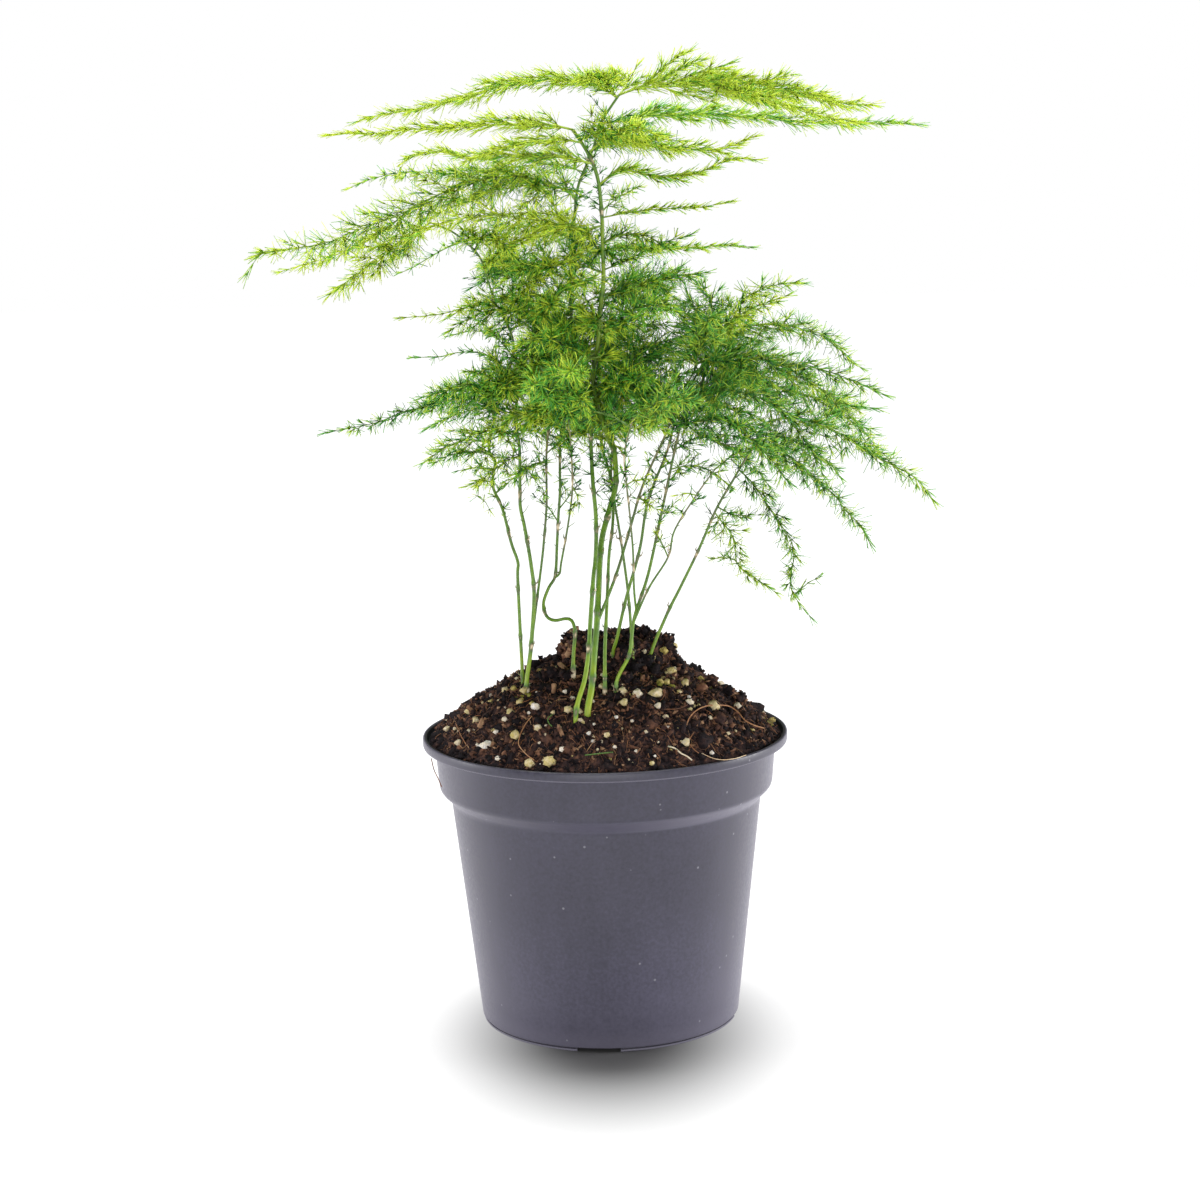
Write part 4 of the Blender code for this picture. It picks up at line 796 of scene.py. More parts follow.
# %% Set the white grains
# (pixel, size across in millimetres, shade from yellow-green 0 to white 1) of the grains that stand out
MARKED_GRAINS = [
    ((469, 714), 2.8, 0.45), ((510, 714), 2.5, 0.4), ((516, 738), 3.2, 0.3), ((486, 748), 3.0, 1.0),
    ((549, 765), 4.0, 0.35), ((530, 766), 3.0, 0.45), ((458, 745), 2.3, 0.6), ((568, 712), 2.8, 0.5),
    ((520, 704), 2.2, 0.3), ((589, 735), 1.6, 1.0), ((607, 737), 2.2, 0.45), ((638, 696), 3.0, 0.7),
    ((656, 696), 3.3, 0.5), ((671, 674), 3.2, 0.3), ((664, 653), 2.8, 0.05), ((653, 659), 2.3, 0.15),
    ((689, 705), 2.9, 0.75), ((714, 709), 3.6, 0.45), ((686, 745), 2.8, 0.6), ((772, 722), 2.2, 0.05),
    ((623, 693), 2.6, 0.6), ((624, 705), 2.7, 0.4), ((505, 692), 2.4, 0.55), ((514, 690), 2.0, 0.1),
    ((524, 693), 2.6, 0.35), ((538, 730), 2.6, 0.65), ((738, 708), 2.4, 0.8), ((685, 686), 3.0, 0.4),
    ((679, 693), 1.6, 0.4), ((657, 668), 2.0, 0.1), ((565, 693), 1.6, 0.85), ((555, 669), 1.5, 0.7),
    ((602, 688), 2.0, 0.45), ((644, 654), 2.0, 0.7), ((660, 684), 2.4, 0.12), ((701, 681), 2.2, 0.1),
    ((667, 684), 2.2, 0.2), ((483, 704), 1.2, 0.5), ((498, 760), 1.7, 0.95), ((655, 757), 1.0, 1.0),
    ((652, 765), 1.8, 0.4), ((712, 754), 1.4, 1.0), ((532, 705), 1.7, 0.15), ((602, 676), 1.4, 0.6),
    ((505, 721), 1.9, 0.8), ((447, 731), 2.2, 0.6), ((455, 730), 1.4, 0.7), ((469, 732), 1.3, 0.7),
    ((496, 734), 1.8, 0.9), ((580, 722), 1.9, 0.65), ((580, 713), 1.8, 0.6), ((553, 714), 1.5, 0.55),
    ((562, 751), 2.0, 0.9), ((675, 670), 1.5, 0.6), ((658, 708), 2.3, 0.8), ((689, 698), 1.3, 1.0),
    ((700, 702), 1.4, 1.0), ((517, 680), 1.6, 0.55), ((499, 702), 1.3, 0.5), ((529, 714), 1.2, 0.9),
    ((560, 729), 1.1, 0.9), ((632, 722), 1.2, 0.9), ((646, 733), 1.3, 0.6), ((668, 728), 1.1, 0.95),
    ((594, 725), 1.0, 0.9), ((615, 748), 1.2, 0.8), ((636, 752), 1.1, 0.9), ((728, 735), 1.5, 0.5)]
LONG_GRAINS, GRAIN_TURN = (3, 12), 0.5
BACK_FROM, BACK_GROWTH = 8 * MM, 1.6
grains = Heap()
for shape in grain_shapes:
    count = GRAINS // len(grain_shapes)
    size = spread_of_sizes(-0.65, 0.42, 0.25, 1.2, count)
    places = strewn_places(count, PEAT_RADIUS - 3.0 * MM, -0.15 * size[:, 0])
    # the larger ones of the front are marked, those behind aren't
    size[places[:, 1] > BACK_FROM] *= BACK_GROWTH
    strew(grains, shape, places, size * draws.uniform(0.75, 1.15, (count, 3)), draws.beta(1.8, 1.6, count))
turn = np.array(Matrix.Rotation(GRAIN_TURN, 3, "Z"))[None]
for index, (pixel, across, tone) in enumerate(MARKED_GRAINS):
    place = on_peat(*pixel)
    if place is None:
        continue
    size = np.array([[across * (1.5 if index in LONG_GRAINS else 1.0), across, across * 0.9]]) * 0.5 * MM
    strew(grains, grain_shapes[index % 3], place[None] + UP * across * 0.3 * MM, size, np.array([tone]), turn)
finish(grains.piece("white_grains"), white_grain)

# %% [markdown]
# ## Moss
# Where the peat stays wet behind the stems, a yellow-olive crust of moss has begun to grow over it. Each patch
# is a cluster of small knocked balls, half sunk in, laid by the line of sight like the grains.

# %% Plant the moss
# (pixel, reach of the patch in millimetres, how many cushions)
MOSS_PATCHES = [((657, 671), 2.6, 16), ((661, 686), 1.8, 10), ((703, 682), 2.8, 16), ((711, 687), 1.6, 8),
                ((688, 682), 1.4, 6), ((649, 662), 1.2, 6), ((527, 694), 1.8, 10), ((518, 699), 1.2, 5),
                ((673, 688), 1.4, 6), ((741, 697), 1.6, 7), ((768, 722), 1.3, 6)]
moss = Heap()
for index, (pixel, reach, count) in enumerate(MOSS_PATCHES):
    middle = on_peat(*pixel)
    if middle is None:
        continue
    spread = draws.normal(0, 0.5, (count, 2)) * reach * MM
    x, y = middle[0] + spread[:, 0], middle[1] + spread[:, 1]
    size = draws.uniform(0.35, 0.8, (count, 1)) * MM
    strew(moss, grain_shapes[index % 3], np.stack([x, y, surface(x, y) + 0.2 * MM], axis=1),
          size * draws.uniform((0.8, 0.8, 0.5), (1.4, 1.4, 0.9), (count, 3)), draws.uniform(0.1, 0.9, count))
finish(moss.piece("moss_cushions"), moss_green)

# %% [markdown]
# ## Fibres and roots
# Peat is full of short stray fibres, and a few real roots lie on top: a rust-coloured arc on the right, a
# loop on the left, one white squiggle, three green strands, and a pale strand hung over the lip. Each is a
# thin tube along a smooth curve. The marked ones follow the photograph, laid on the heap by the line of sight.

# %% Lay the fibres and roots
def smooth_curve(knots, step):
    """Points about a step apart on a smooth curve through the knots."""
    knots = [2 * knots[0] - knots[1], *knots, 2 * knots[-1] - knots[-2]]
    line = []
    for before, start, end, after in zip(knots, knots[1:], knots[2:], knots[3:]):
        count = max(1, round(float(np.linalg.norm(end - start)) / step))
        t = (np.arange(count) / count)[:, None]
        line.append(0.5 * (2 * start + (end - before) * t + (2 * before - 5 * start + 4 * end - after) * t ** 2
                           + (3 * start - 3 * end + after - before) * t ** 3))
    return np.concatenate(line + [knots[-2][None]])


def tangents(line):
    steps = np.gradient(line, axis=0)
    return steps / np.maximum(np.linalg.norm(steps, axis=1), 1e-12)[:, None]


def tube(line, radii, sides):
    """A closed tube along a line: its points and triangles."""
    ways = tangents(line)
    first = np.array([0.0, 1.0, 0.0]) if abs(ways[0][1]) < 0.9 else np.array([1.0, 0.0, 0.0])
    firsts = []
    for way in ways:
        first = first - way * (first @ way)
        first /= np.linalg.norm(first)
        firsts.append(first)
    firsts = np.array(firsts)
    seconds = np.cross(ways, firsts)
    turn = 2 * np.pi * np.arange(sides) / sides
    ring = (np.cos(turn)[None, :, None] * firsts[:, None] + np.sin(turn)[None, :, None] * seconds[:, None])
    body = (line[:, None] + ring * np.broadcast_to(radii, len(line))[:, None, None]).reshape(-1, 3)
    low = (np.arange(len(line) - 1)[:, None] * sides + np.arange(sides)[None])
    following = (np.arange(len(line) - 1)[:, None] * sides + (np.arange(sides)[None] + 1) % sides)
    walls = np.concatenate([np.stack([low, following, following + sides], -1).reshape(-1, 3),
                            np.stack([low, following + sides, low + sides], -1).reshape(-1, 3)])
    if sides == 3:
        caps = np.array([[0, 2, 1], [len(body) - 3, len(body) - 2, len(body) - 1]])
        return body, np.concatenate([walls, caps])
    ends = len(body)
    corner, after = np.arange(sides), (np.arange(sides) + 1) % sides
    last = (len(line) - 1) * sides
    caps = np.concatenate([np.stack([np.full(sides, ends), after, corner], -1),
                           np.stack([np.full(sides, ends + 1), corner + last, after + last], -1)])
    return np.concatenate([body, line[:1], line[-1:]]), np.concatenate([walls, caps])


FIBRES, FIBRE_LENGTH, FIBRE_RADIUS, FIBRE_PARTS = 1700, (1.5, 6.5), (0.05, 0.12), 3
roots = Heap()
for place in strewn_places(FIBRES, PEAT_RADIUS - 2.5 * MM, 0.0):
    length, heading = draws.uniform(*FIBRE_LENGTH) * MM, draws.uniform(0, 2 * math.pi)
    knots = [place]
    for _ in range(FIBRE_PARTS):
        heading += draws.normal(0, 0.5)
        knot = knots[-1] + np.array([math.cos(heading), math.sin(heading), 0]) * length / FIBRE_PARTS
        if np.hypot(knot[0], knot[1]) > PEAT_RADIUS - 0.5 * MM:
            break
        knot[2] = float(heap_height(knot[0], knot[1])) + draws.uniform(-0.1, 1.5) * MM
        knots.append(knot)
    if len(knots) > 2:
        thick = draws.uniform(*FIBRE_RADIUS) * MM
        shade = float(np.clip(draws.beta(1.2, 2.8), 0, 0.7))
        roots.add(*tube(smooth_curve(knots, 1.4 * MM), thick, 3), shade=shade)
# (pixels along the strand, radius in millimetres, shade, height above the heap in millimetres)
MARKED_ROOTS = [
    ([(686, 731), (690, 722), (697, 715), (706, 711), (716, 710), (729, 711), (738, 717), (745, 725), (754, 730),
      (764, 733)], 0.20, 0.52, 1.6),
    ([(532, 720), (525, 729), (520, 740), (519, 749), (526, 758), (534, 764)], 0.16, 0.58, 1.3),
    ([(668, 750), (675, 752), (681, 757), (687, 760), (692, 764)], 0.24, 0.86, 1.2),
    ([(585, 759), (593, 758), (602, 757), (613, 756)], 0.19, 1.0, 1.2),
    ([(553, 718), (548, 722), (549, 727), (552, 730)], 0.16, 1.0, 1.2),
    ([(560, 655), (572, 653), (586, 652)], 0.19, 1.0, 1.6),
    ([(766, 731), (768, 722), (771, 717)], 0.16, 0.5, 1.4),
    ([(664, 713), (680, 712), (695, 704)], 0.14, 0.3, 1.2),
    ([(694, 736), (689, 745), (693, 752), (699, 757)], 0.13, 0.42, 1.2),
    ([(456, 727), (460, 737), (466, 748)], 0.14, 0.5, 1.2),
    ([(722, 690), (735, 693), (748, 701)], 0.22, 0.35, 1.6)]
# the pale strand that hangs over the lip at the right front, and the hair on the collar at the left: points in
# millimetres, radius, shade
HUNG_STRANDS = [
    ([(30.0, -46.5, 98.6), (33.5, -47.8, 97.2), (37.0, -48.0, 96.7), (41.0, -46.0, 96.7), (44.0, -43.5, 97.0)],
     0.13, 0.80),
    ([(-56.6, -14.0, 91.0), (-55.6, -17.8, 88.2), (-54.2, -20.6, 86.0), (-53.0, -22.4, 83.6)], 0.17, 0.36)]
strands = []
for pixels, radius, tone, above in MARKED_ROOTS:
    knots = [on_peat(*pixel) for pixel in pixels]
    strands.append(([knot + UP * above * MM for knot in knots if knot is not None], radius, tone))
strands += [([np.array(point) * MM for point in points], radius, tone) for points, radius, tone in HUNG_STRANDS]
for knots, radius, tone in strands:
    if len(knots) > 2:
        roots.add(*tube(smooth_curve(knots, 0.8 * MM), radius * MM, 6), shade=tone)
finish(roots.piece("fibres_and_roots"), root_skin)

# %% [markdown]
# ## The lines of the stems and fronds
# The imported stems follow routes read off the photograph: how far across and how high a point is seen, and a
# judgement of how far back it lies. The same routes are used here, so the fine foliage keeps the model's
# form. Each frond gets a half width and a tone, since the plumes at the top are bright yellow-green and the
# thicket below is dark. The small tufts low on the stems, the fronds round the crown and those that close
# the last gaps are here only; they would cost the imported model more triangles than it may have.

# %% Write down the routes
ROUTE_ZERO = np.array([-0.7, 0.0, 1.2]) * MM
STEMS = {
    # name: (grows from, at this height, radius at the foot, radius at the top, route)
    "arching_stem": (None, 0, 0.8, 0.4, [(-26, 113, -9), (-26.3, 126.5, -8), (-26.7, 146.5, -6),
        (-26.5, 151.5, -5), (-28.5, 158, -4), (-31, 169, -2), (-34, 177, 0), (-33, 184.5, 2),
        (-34.8, 189.5, 3), (-31, 205, 5), (-26, 222, 6), (-31.5, 236.2, 5), (-34, 244, 4),
        (-36.5, 251.2, 2), (-44, 258.3, -2), (-51.5, 261.8, -6)]),
    "left_stem": (None, 0, 0.85, 0.4, [(-24.8, 110.3, -17), (-23, 123, -16), (-21.5, 140, -14),
        (-22.2, 150.3, -13), (-24, 163, -11), (-25.2, 169.5, -10), (-25.2, 175.5, -9), (-25, 189.5, -6),
        (-26, 200, -4), (-23, 216, 0), (-18, 232, 4)]),
    "left_stem_fork": ("left_stem", 124, 0.6, 0.35, [(-20.6, 139, -9), (-18.9, 150.2, -7), (-18, 157, -6),
        (-16.7, 170, -4), (-16.5, 179.5, -2), (-16.3, 187, 0), (-15, 205, 6), (-17, 225, 14),
        (-14, 240, 20)]),
    "kinked_stem": (None, 0, 0.7, 0.35, [(-9.3, 115, -15), (-9, 121.6, -15), (-8.4, 128, -15),
        (-9.4, 131.8, -14), (-11.5, 132.5, -13), (-14.6, 132, -11), (-17, 132.8, -10), (-18.3, 135.2, -9),
        (-18.4, 138.4, -8), (-16.6, 143, -7), (-14.6, 146.2, -6), (-14, 150.8, -5), (-13.7, 155.8, -4),
        (-13, 165.6, -3), (-12.2, 175, -2), (-12, 184.5, 1), (-11, 200, 9), (-8, 225, 26)]),
    "kinked_stem_fork": ("kinked_stem", 146, 0.5, 0.3, [(-13, 147.5, -7), (-12.4, 151, -8),
        (-10.7, 159.2, -10), (-9.3, 166.9, -12), (-8.2, 175.2, -14), (-8.2, 184.7, -16), (-9, 200, -20),
        (-10, 215, -24)]),
    "tall_stem_back": (None, 0, 0.9, 0.45, [(-8.6, 101.6, -39), (-5.6, 112, -36), (-4, 122, -33),
        (-3.3, 131.5, -30), (-2, 146, -26), (-1.3, 151, -24), (-0.8, 159, -22), (-0.8, 167.2, -20),
        (-1.4, 175.6, -18), (-1.7, 183.3, -15), (-2.5, 200, -9), (-6.3, 221.5, 2), (-7.5, 237.5, 8),
        (-6.2, 253.4, 12), (-4.5, 270.4, 12), (-1.2, 279, 11), (1.2, 284.7, 10), (3.5, 291.8, 9),
        (9.4, 300.4, 8)]),
    "tall_stem_front": (None, 0, 1.1, 0.55, [(-4.9, 100.6, -36), (-3.4, 109.3, -33.5), (-2.1, 122, -30),
        (-1.2, 130.5, -27.5), (-0.6, 138.5, -25), (0.8, 157, -18), (3.5, 167.5, -14), (5.9, 176.5, -11),
        (5.6, 187.5, -8), (4.3, 190.2, -6), (1, 201, -3), (-0.7, 211.3, -1), (1.1, 222, -2), (2, 232.2, -2),
        (3.3, 242.7, -2), (3.3, 256.4, -2), (3.2, 263.3, -2), (2.2, 274.3, -1), (-0.8, 282.5, 0),
        (-5.4, 289.9, 2)]),
    "tall_stem_front_fork": ("tall_stem_front", 130, 0.7, 0.35, [(5.4, 146.6, -24), (10.5, 162.6, -20),
        (14.7, 175.9, -17), (22.1, 191.8, -12), (27, 203, -10), (33, 215, -8)]),
    "middle_stem": (None, 0, 0.85, 0.4, [(1, 111, -25), (1.2, 119.5, -23.5), (1.4, 124.8, -22),
        (2, 133.5, -20), (2.6, 143, -17), (3.3, 153.6, -14.5), (4.6, 162.8, -12), (5, 172, -8.5),
        (4, 180, -5.5), (1.5, 190, 0), (0, 205, 8), (3, 220, 16), (6, 235, 22)]),
    "crossing_stem": (None, 0, 0.7, 0.4, [(10.3, 121, -6), (10, 128, -6), (9.3, 139.9, -6), (8, 152, -5.5),
        (6.6, 162.7, -5), (5.5, 170, -3), (4.5, 180, 2), (6, 195, 8), (10, 210, 13)]),
    "right_stem": (None, 0, 0.8, 0.4, [(3.7, 119.5, -6.5), (5.5, 126.5, -8.5), (8.6, 139, -10.5),
        (13.3, 155, -11), (16.3, 170.8, -10), (22.8, 187, -7), (26, 198, -4), (33, 212, 0), (40, 224, 4)]),
    "forked_stem": (None, 0, 0.85, 0.4, [(4.7, 110.4, -26), (9.1, 119.6, -24.5), (10, 125, -23.5),
        (11.3, 133, -22), (15.8, 146.3, -19), (19.9, 163.6, -16), (25.3, 187.3, -12), (29, 200, -8),
        (36, 212, -4)]),
    "forked_stem_right": ("forked_stem", 131, 0.5, 0.3, [(16, 142, -22), (22.5, 152.2, -23),
        (24.8, 161, -24), (32, 172.3, -25), (38.3, 180.8, -26)]),
    "forked_stem_left": ("forked_stem", 135, 0.5, 0.3, [(11.2, 142, -25), (11.1, 154, -27),
        (10.4, 165, -28), (9.3, 178, -29), (9, 187, -30), (12, 198, -32)]),
    "leaning_stem": (None, 0, 0.8, 0.4, [(15.7, 118, -3), (21.5, 132.6, -3), (26.4, 142.2, -3),
        (32.7, 154.8, -4), (38.3, 167.4, -5), (44, 177, -6), (50, 187, -6), (56, 196, -4)]),
}
FRONDS = {
    # name: (grows on, at this height or share of it, half width, tone from dark 0 to bright 1, route)
    "plume_left": ("tall_stem_back", 300, 13, 0.85, [(2, 304, 8), (-8, 305.5, 9), (-20, 305.5, 10),
        (-30, 303.5, 12), (-40, 300.5, 14), (-50, 298.3, 16), (-60, 296.7, 18), (-70, 295, 20),
        (-73.5, 294, 21)]),
    "plume_right": ("tall_stem_back", 300.4, 25, 0.85, [(16, 302.4, 6), (28, 302.8, 3), (40, 303, 0),
        (50, 301.7, -3), (60, 301, -6), (70, 299, -9), (80, 296.5, -12), (88.7, 295.8, -14)]),
    "plume_crown": ("tall_stem_back", 300, 10, 0.85, [(12, 304, 12), (10, 307, 18), (8, 308, 24)]),
    "plume_crown_left": ("tall_stem_back", 300, 14, 0.8, [(4, 303, 2), (0, 305, -6), (-2, 306, -12)]),
    "plume_crown_front": ("tall_stem_back", 300, 13, 0.85, [(6, 303.6, -2), (6, 305.4, -9), (7, 305.6, -17)]),
    "plume_right_back": ("plume_right", 0.28, 7, 0.85, [(38, 304.5, 6), (50, 303.6, 10), (62, 300.6, 13),
        (74, 297.4, 16), (85, 294.4, 18)]),
    "plume_right_low": ("plume_right", 0.35, 12, 0.9, [(52, 299, -14), (62, 296, -20), (70, 293.5, -25),
        (78, 291.5, -30), (86, 290.5, -34)]),
    "dark_right": ("tall_stem_back", 291.8, 13, .58, [(12, 292.5, 14), (20, 293.8, 18), (35, 293.6, 24),
        (50, 292.8, 30), (62, 291.5, 34), (78, 290.2, 38), (93.5, 290, 42), (104.5, 289.3, 45)]),
    "second_left": ("tall_stem_front", 289.5, 11, 1, [(-12, 291.5, 0), (-19, 292, -2), (-30, 292, -4),
        (-39, 291.6, -6), (-49.5, 291.3, -8), (-59, 291, -10), (-69, 290, -12), (-75.5, 290.4, -13),
        (-82, 290, -14)]),
    "second_left_low": ("tall_stem_front", 286, 11, 0.95, [(-10, 287, -6), (-20, 286, -12), (-30, 284, -18),
        (-36, 282, -22)]),
    "third_right": ("tall_stem_front", 282.5, 15, 0.8, [(5, 286.5, -3), (12, 286, -6), (20.4, 284.5, -9),
        (30, 283.5, -12), (39.4, 282.5, -15), (45.8, 284.2, -17), (51.4, 286.3, -18)]),
    "third_right_low": ("tall_stem_front", 272, 10, 0.75, [(9, 277, -3), (18, 275.5, -8), (27, 274.5, -12),
        (36.8, 276.5, -16), (44, 279.7, -19), (52.8, 279.3, -22)]),
    "fourth_right": ("tall_stem_front", 262, 6, 0.7, [(13.3, 263.8, -5), (26, 264.6, -9), (34, 264.7, -12),
        (44.3, 266.3, -15)]),
    "fifth_right": ("tall_stem_front", 252, 8, 0.65, [(13.2, 252.4, 4), (22.7, 252, 8), (33, 252.1, 12),
        (41.7, 252.5, 15), (50.7, 251.8, 18)]),
    "fifth_right_up": ("tall_stem_front", 246, 8, 0.5, [(12, 249, -6), (20, 253, -10), (31, 256, -15)]),
    "sixth_right": ("tall_stem_front", 238, 12, 0.4, [(14, 240, 6), (26, 243, 10), (36, 244, 14)]),
    "curl_left": ("tall_stem_front", 279, 11, 0.8, [(-8, 281.5, -6), (-15.5, 281.5, -9), (-26.5, 282, -12),
        (-34.5, 282, -15), (-39.6, 282, -17), (-46, 283.8, -20), (-53.5, 283.6, -23), (-59.3, 281, -26),
        (-60.5, 278.5, -27)]),
    "behind_left": ("tall_stem_back", 277, 9, 0.6, [(-10, 279, 16), (-20, 279, 20), (-30, 278, 24),
        (-40, 277, 28), (-50, 277.5, 32), (-60, 277.7, 36), (-70, 275.8, 40), (-76, 273.5, 42)]),
    "long_left": ("tall_stem_back", 268.5, 15, 0.7, [(-11, 272.3, 6), (-19, 275, 2), (-27, 275.7, -2),
        (-35, 275, -6), (-46.8, 271.3, -12), (-59, 265.5, -18), (-67, 262.5, -22), (-75.4, 259.7, -26),
        (-83.5, 256.5, -30), (-91.5, 255, -34), (-99.5, 254, -37), (-106, 253, -39), (-110, 247.6, -41)]),
    "long_left_branch": ("long_left", 0.52, 8, 0.85, [(-68, 258.5, -14), (-80, 253, -9), (-90, 250, -5),
        (-99.5, 247.3, -2)]),
    "bright_left": ("tall_stem_front", 260, 13, 1, [(-3.6, 258.5, -8), (-12, 260.5, -12), (-19.5, 262, -16),
        (-27, 263.4, -19), (-35, 263.6, -22), (-44, 262.5, -26), (-51, 260.5, -30), (-58, 257, -34)]),
    "arch_tip": ("arching_stem", 261.8, 14, 0.9, [(-60.6, 256.6, -11), (-67, 252, -15), (-75.4, 246, -19),
        (-83.5, 240.3, -23)]),
    "arch_under": ("arching_stem", 256, 3.5, 0.6, [(-48, 253, 4), (-58, 247.5, 8), (-62, 246, 10)]),
    "arch_right": ("arching_stem", 236.2, 9, .92, [(-24, 241, 0), (-15.3, 246, -6), (-6, 250, -12),
        (1, 252.5, -17)]),
    "arch_left": ("arching_stem", 236, 4, 0.9, [(-38, 235.4, -3), (-49, 232.7, -9), (-62, 231.7, -15)]),
    "arch_back": ("arching_stem", 244, 8, .65, [(-28, 247, 10), (-20, 252, 18), (-12, 256, 26)]),
    "left_upper": ("arching_stem", 214, 4, 0.3, [(-35, 219.5, 10), (-43, 220.3, 14), (-50, 219, 18),
        (-58.5, 219, 22)]),
    "left_upper_back": ("arching_stem", 222, 4, 0.3, [(-33, 226, 14), (-40, 227, 20), (-47, 225.5, 26)]),
    "left_long": ("arching_stem", 200, 7.5, 0.25, [(-38, 206, -3), (-47, 205, -8), (-55.5, 203, -12),
        (-62.3, 201.5, -16), (-70, 198.5, -20), (-79, 196.7, -24), (-87, 195.5, -28)]),
    "left_bright": ("left_stem", 193, 9, 0.7, [(-32.6, 195, -14), (-39, 194, -20), (-46, 195, -25)]),
    "left_low": ("arching_stem", 186, 8, 0.45, [(-37, 188, -6), (-43, 188, -11), (-48, 187, -15),
        (-52, 185, -18)]),
    "left_hook": ("arching_stem", 178, 3, 0.7, [(-36.5, 178.8, -1), (-38.5, 177, -3), (-39, 173.4, -4),
        (-36.8, 172, -5), (-35, 168.6, -6)]),
    "left_front": ("left_stem", 205, 7, 0.4, [(-32, 211, -12), (-38, 214, -20), (-42, 214, -28)]),
    "left_front_up": ("left_stem", 215, 4, 0.45, [(-29, 222, -12), (-34, 228, -22), (-38, 231, -30)]),
    "left_top": ("left_stem", 232, 14, .68, [(-12, 238, -4), (-4, 242, -14), (4, 243, -24)]),
    "fork_top": ("left_stem_fork", 240, 14, .65, [(-20, 246, 28), (-28, 249, 36), (-36, 248, 44)]),
    "fork_back": ("left_stem_fork", 207, 10, 0.2, [(-22, 212, 16), (-30, 215, 26), (-38, 214, 36)]),
    "kinked_back": ("kinked_stem", 200, 13, 0.2, [(-5, 206, 18), (4, 209, 26), (12, 209, 34)]),
    "kinked_top": ("kinked_stem", 225, 14, .45, [(-14, 232, 36), (-20, 236, 46), (-26, 236, 56)]),
    "front_left": ("kinked_stem_fork", 200, 13, 0.38, [(-14, 206, -30), (-18, 209, -40), (-22, 209, -50)]),
    "front_middle": ("kinked_stem_fork", 210, 11, 0.48, [(-9, 213, -33), (-8, 214, -42), (-8, 212, -50)]),
    "front_right": ("tall_stem_front", 205, 14, .45, [(6, 209, -12), (12, 211, -22), (18, 210, -32)]),
    "front_crossing": ("tall_stem_front", 215, 14, .58, [(-5, 220, -9), (-11, 223, -17), (-18, 224, -25),
        (-25, 222, -32)]),
    "front_right_up": ("tall_stem_front", 226, 13, .42, [(8, 230, -10), (14, 233, -18), (20, 234, -27),
        (26, 232, -36)]),
    "front_low": ("tall_stem_front", 196, 13, 0.7, [(8, 198, -12), (15, 197, -20), (22, 194, -28)]),
    "middle_top": ("middle_stem", 235, 14, 0.3, [(14, 240, 28), (22, 243, 34), (30, 243, 40)]),
    "middle_back": ("middle_stem", 210, 13, 0.2, [(-4, 215, 20), (-10, 217, 30), (-16, 217, 40)]),
    "crossing_top": ("crossing_stem", 210, 14, 0.3, [(16, 217, 18), (24, 221, 24), (32, 222, 30)]),
    "crossing_low": ("crossing_stem", 195, 6, 0.35, [(12, 199, 14), (18, 200, 20), (24, 199, 26)]),
    "gap_upper": ("crossing_stem", 210, 12, 0.35, [(13, 218.5, 10), (20, 222, 14), (29, 223.5, 18)]),
    "gap_top": ("tall_stem_front", 222, 11, 0.4, [(7, 226, 8), (16, 228, 16), (26, 227, 22)]),
    "gap_lower": ("crossing_stem", 202, 11, 0.3, [(14, 207, 12), (22, 211, 15), (31, 212, 18)]),
    "gap_right": ("crossing_stem", 206, 10, 0.36, [(17, 213, 22), (25, 216.5, 28), (34, 217, 34)]),
    "tall_left_low": ("tall_stem_back", 229, 6, .6, [(-14, 231, 2), (-22, 233, -5), (-30, 232, -12)]),
    "tall_right_back": ("tall_stem_back", 245, 8, 0.35, [(-2, 250, 18), (6, 252, 26), (13, 252, 34)]),
    "tall_left_back": ("tall_stem_back", 255, 11, 0.5, [(-12, 258, 20), (-20, 260, 28), (-28, 260, 36),
        (-36, 258, 44)]),
    "pale_up": ("right_stem", 224, 10, 0.6, [(46.5, 234, 8), (54, 238.5, 10), (61.5, 240, 12),
        (67, 240, 14)]),
    "yellow_up": ("right_stem", 219, 10, 0.85, [(43.5, 228, -4), (52.3, 233, -9), (61.5, 236, -13)]),
    "right_upper": ("right_stem", 212, 15, .5, [(42, 222, 6), (50, 226.6, 12), (59.8, 227, 16),
        (68.5, 224.6, 20), (76.6, 221, 24), (81.8, 215, 26), (85.5, 212.6, 28)]),
    "right_second": ("tall_stem_front_fork", 215, 13, .43, [(40, 217.5, -10), (50, 216.5, -13),
        (61, 214.4, -16), (72, 212.5, -19), (83, 208.5, -22), (92.3, 204, -25)]),
    "right_third": ("forked_stem", 212, 12, .43, [(46, 211, 0), (53.6, 208, 4), (67, 204.5, 8),
        (80, 200.8, 12), (90.5, 199.3, 15)]),
    "right_long": ("leaning_stem", 196, 12, 0.5, [(64, 197, -4), (72, 194.5, -5), (81.5, 190, -6),
        (88.8, 184.6, -7), (96.2, 180.6, -8), (103.6, 176, -9), (108.7, 169.3, -10)]),
    "right_droop": ("leaning_stem", 187, 11, 0.4, [(57, 187.5, -12), (64.3, 183, -17), (70, 177.3, -21),
        (76.8, 171.5, -25), (80, 167, -27), (85, 161.5, -29), (88.2, 155.5, -31)]),
    "right_hanging": ("leaning_stem", 180, 8, 0.4, [(50.2, 176, -9), (54.6, 169.5, -12), (59, 162.6, -14),
        (62.7, 156.6, -15), (63.5, 150.6, -15), (62.2, 143.7, -14), (64, 137.7, -14), (69, 131, -13)]),
    "right_hanging_side": ("right_hanging", 0.83, 4, 0.4, [(67.7, 142.5, -16), (71.5, 144.3, -18)]),
    "right_short": ("leaning_stem", 168, 6, 0.4, [(43.8, 165.6, -9), (48, 165.4, -11), (52, 165.4, -13)]),
    "right_loose": ("leaning_stem", 166.5, 8, 0.7, [(40.5, 163, -1), (43.5, 159, 1), (44.5, 154, 2),
        (45.2, 149, 2), (51, 144.5, 2), (57, 140, 3)]),
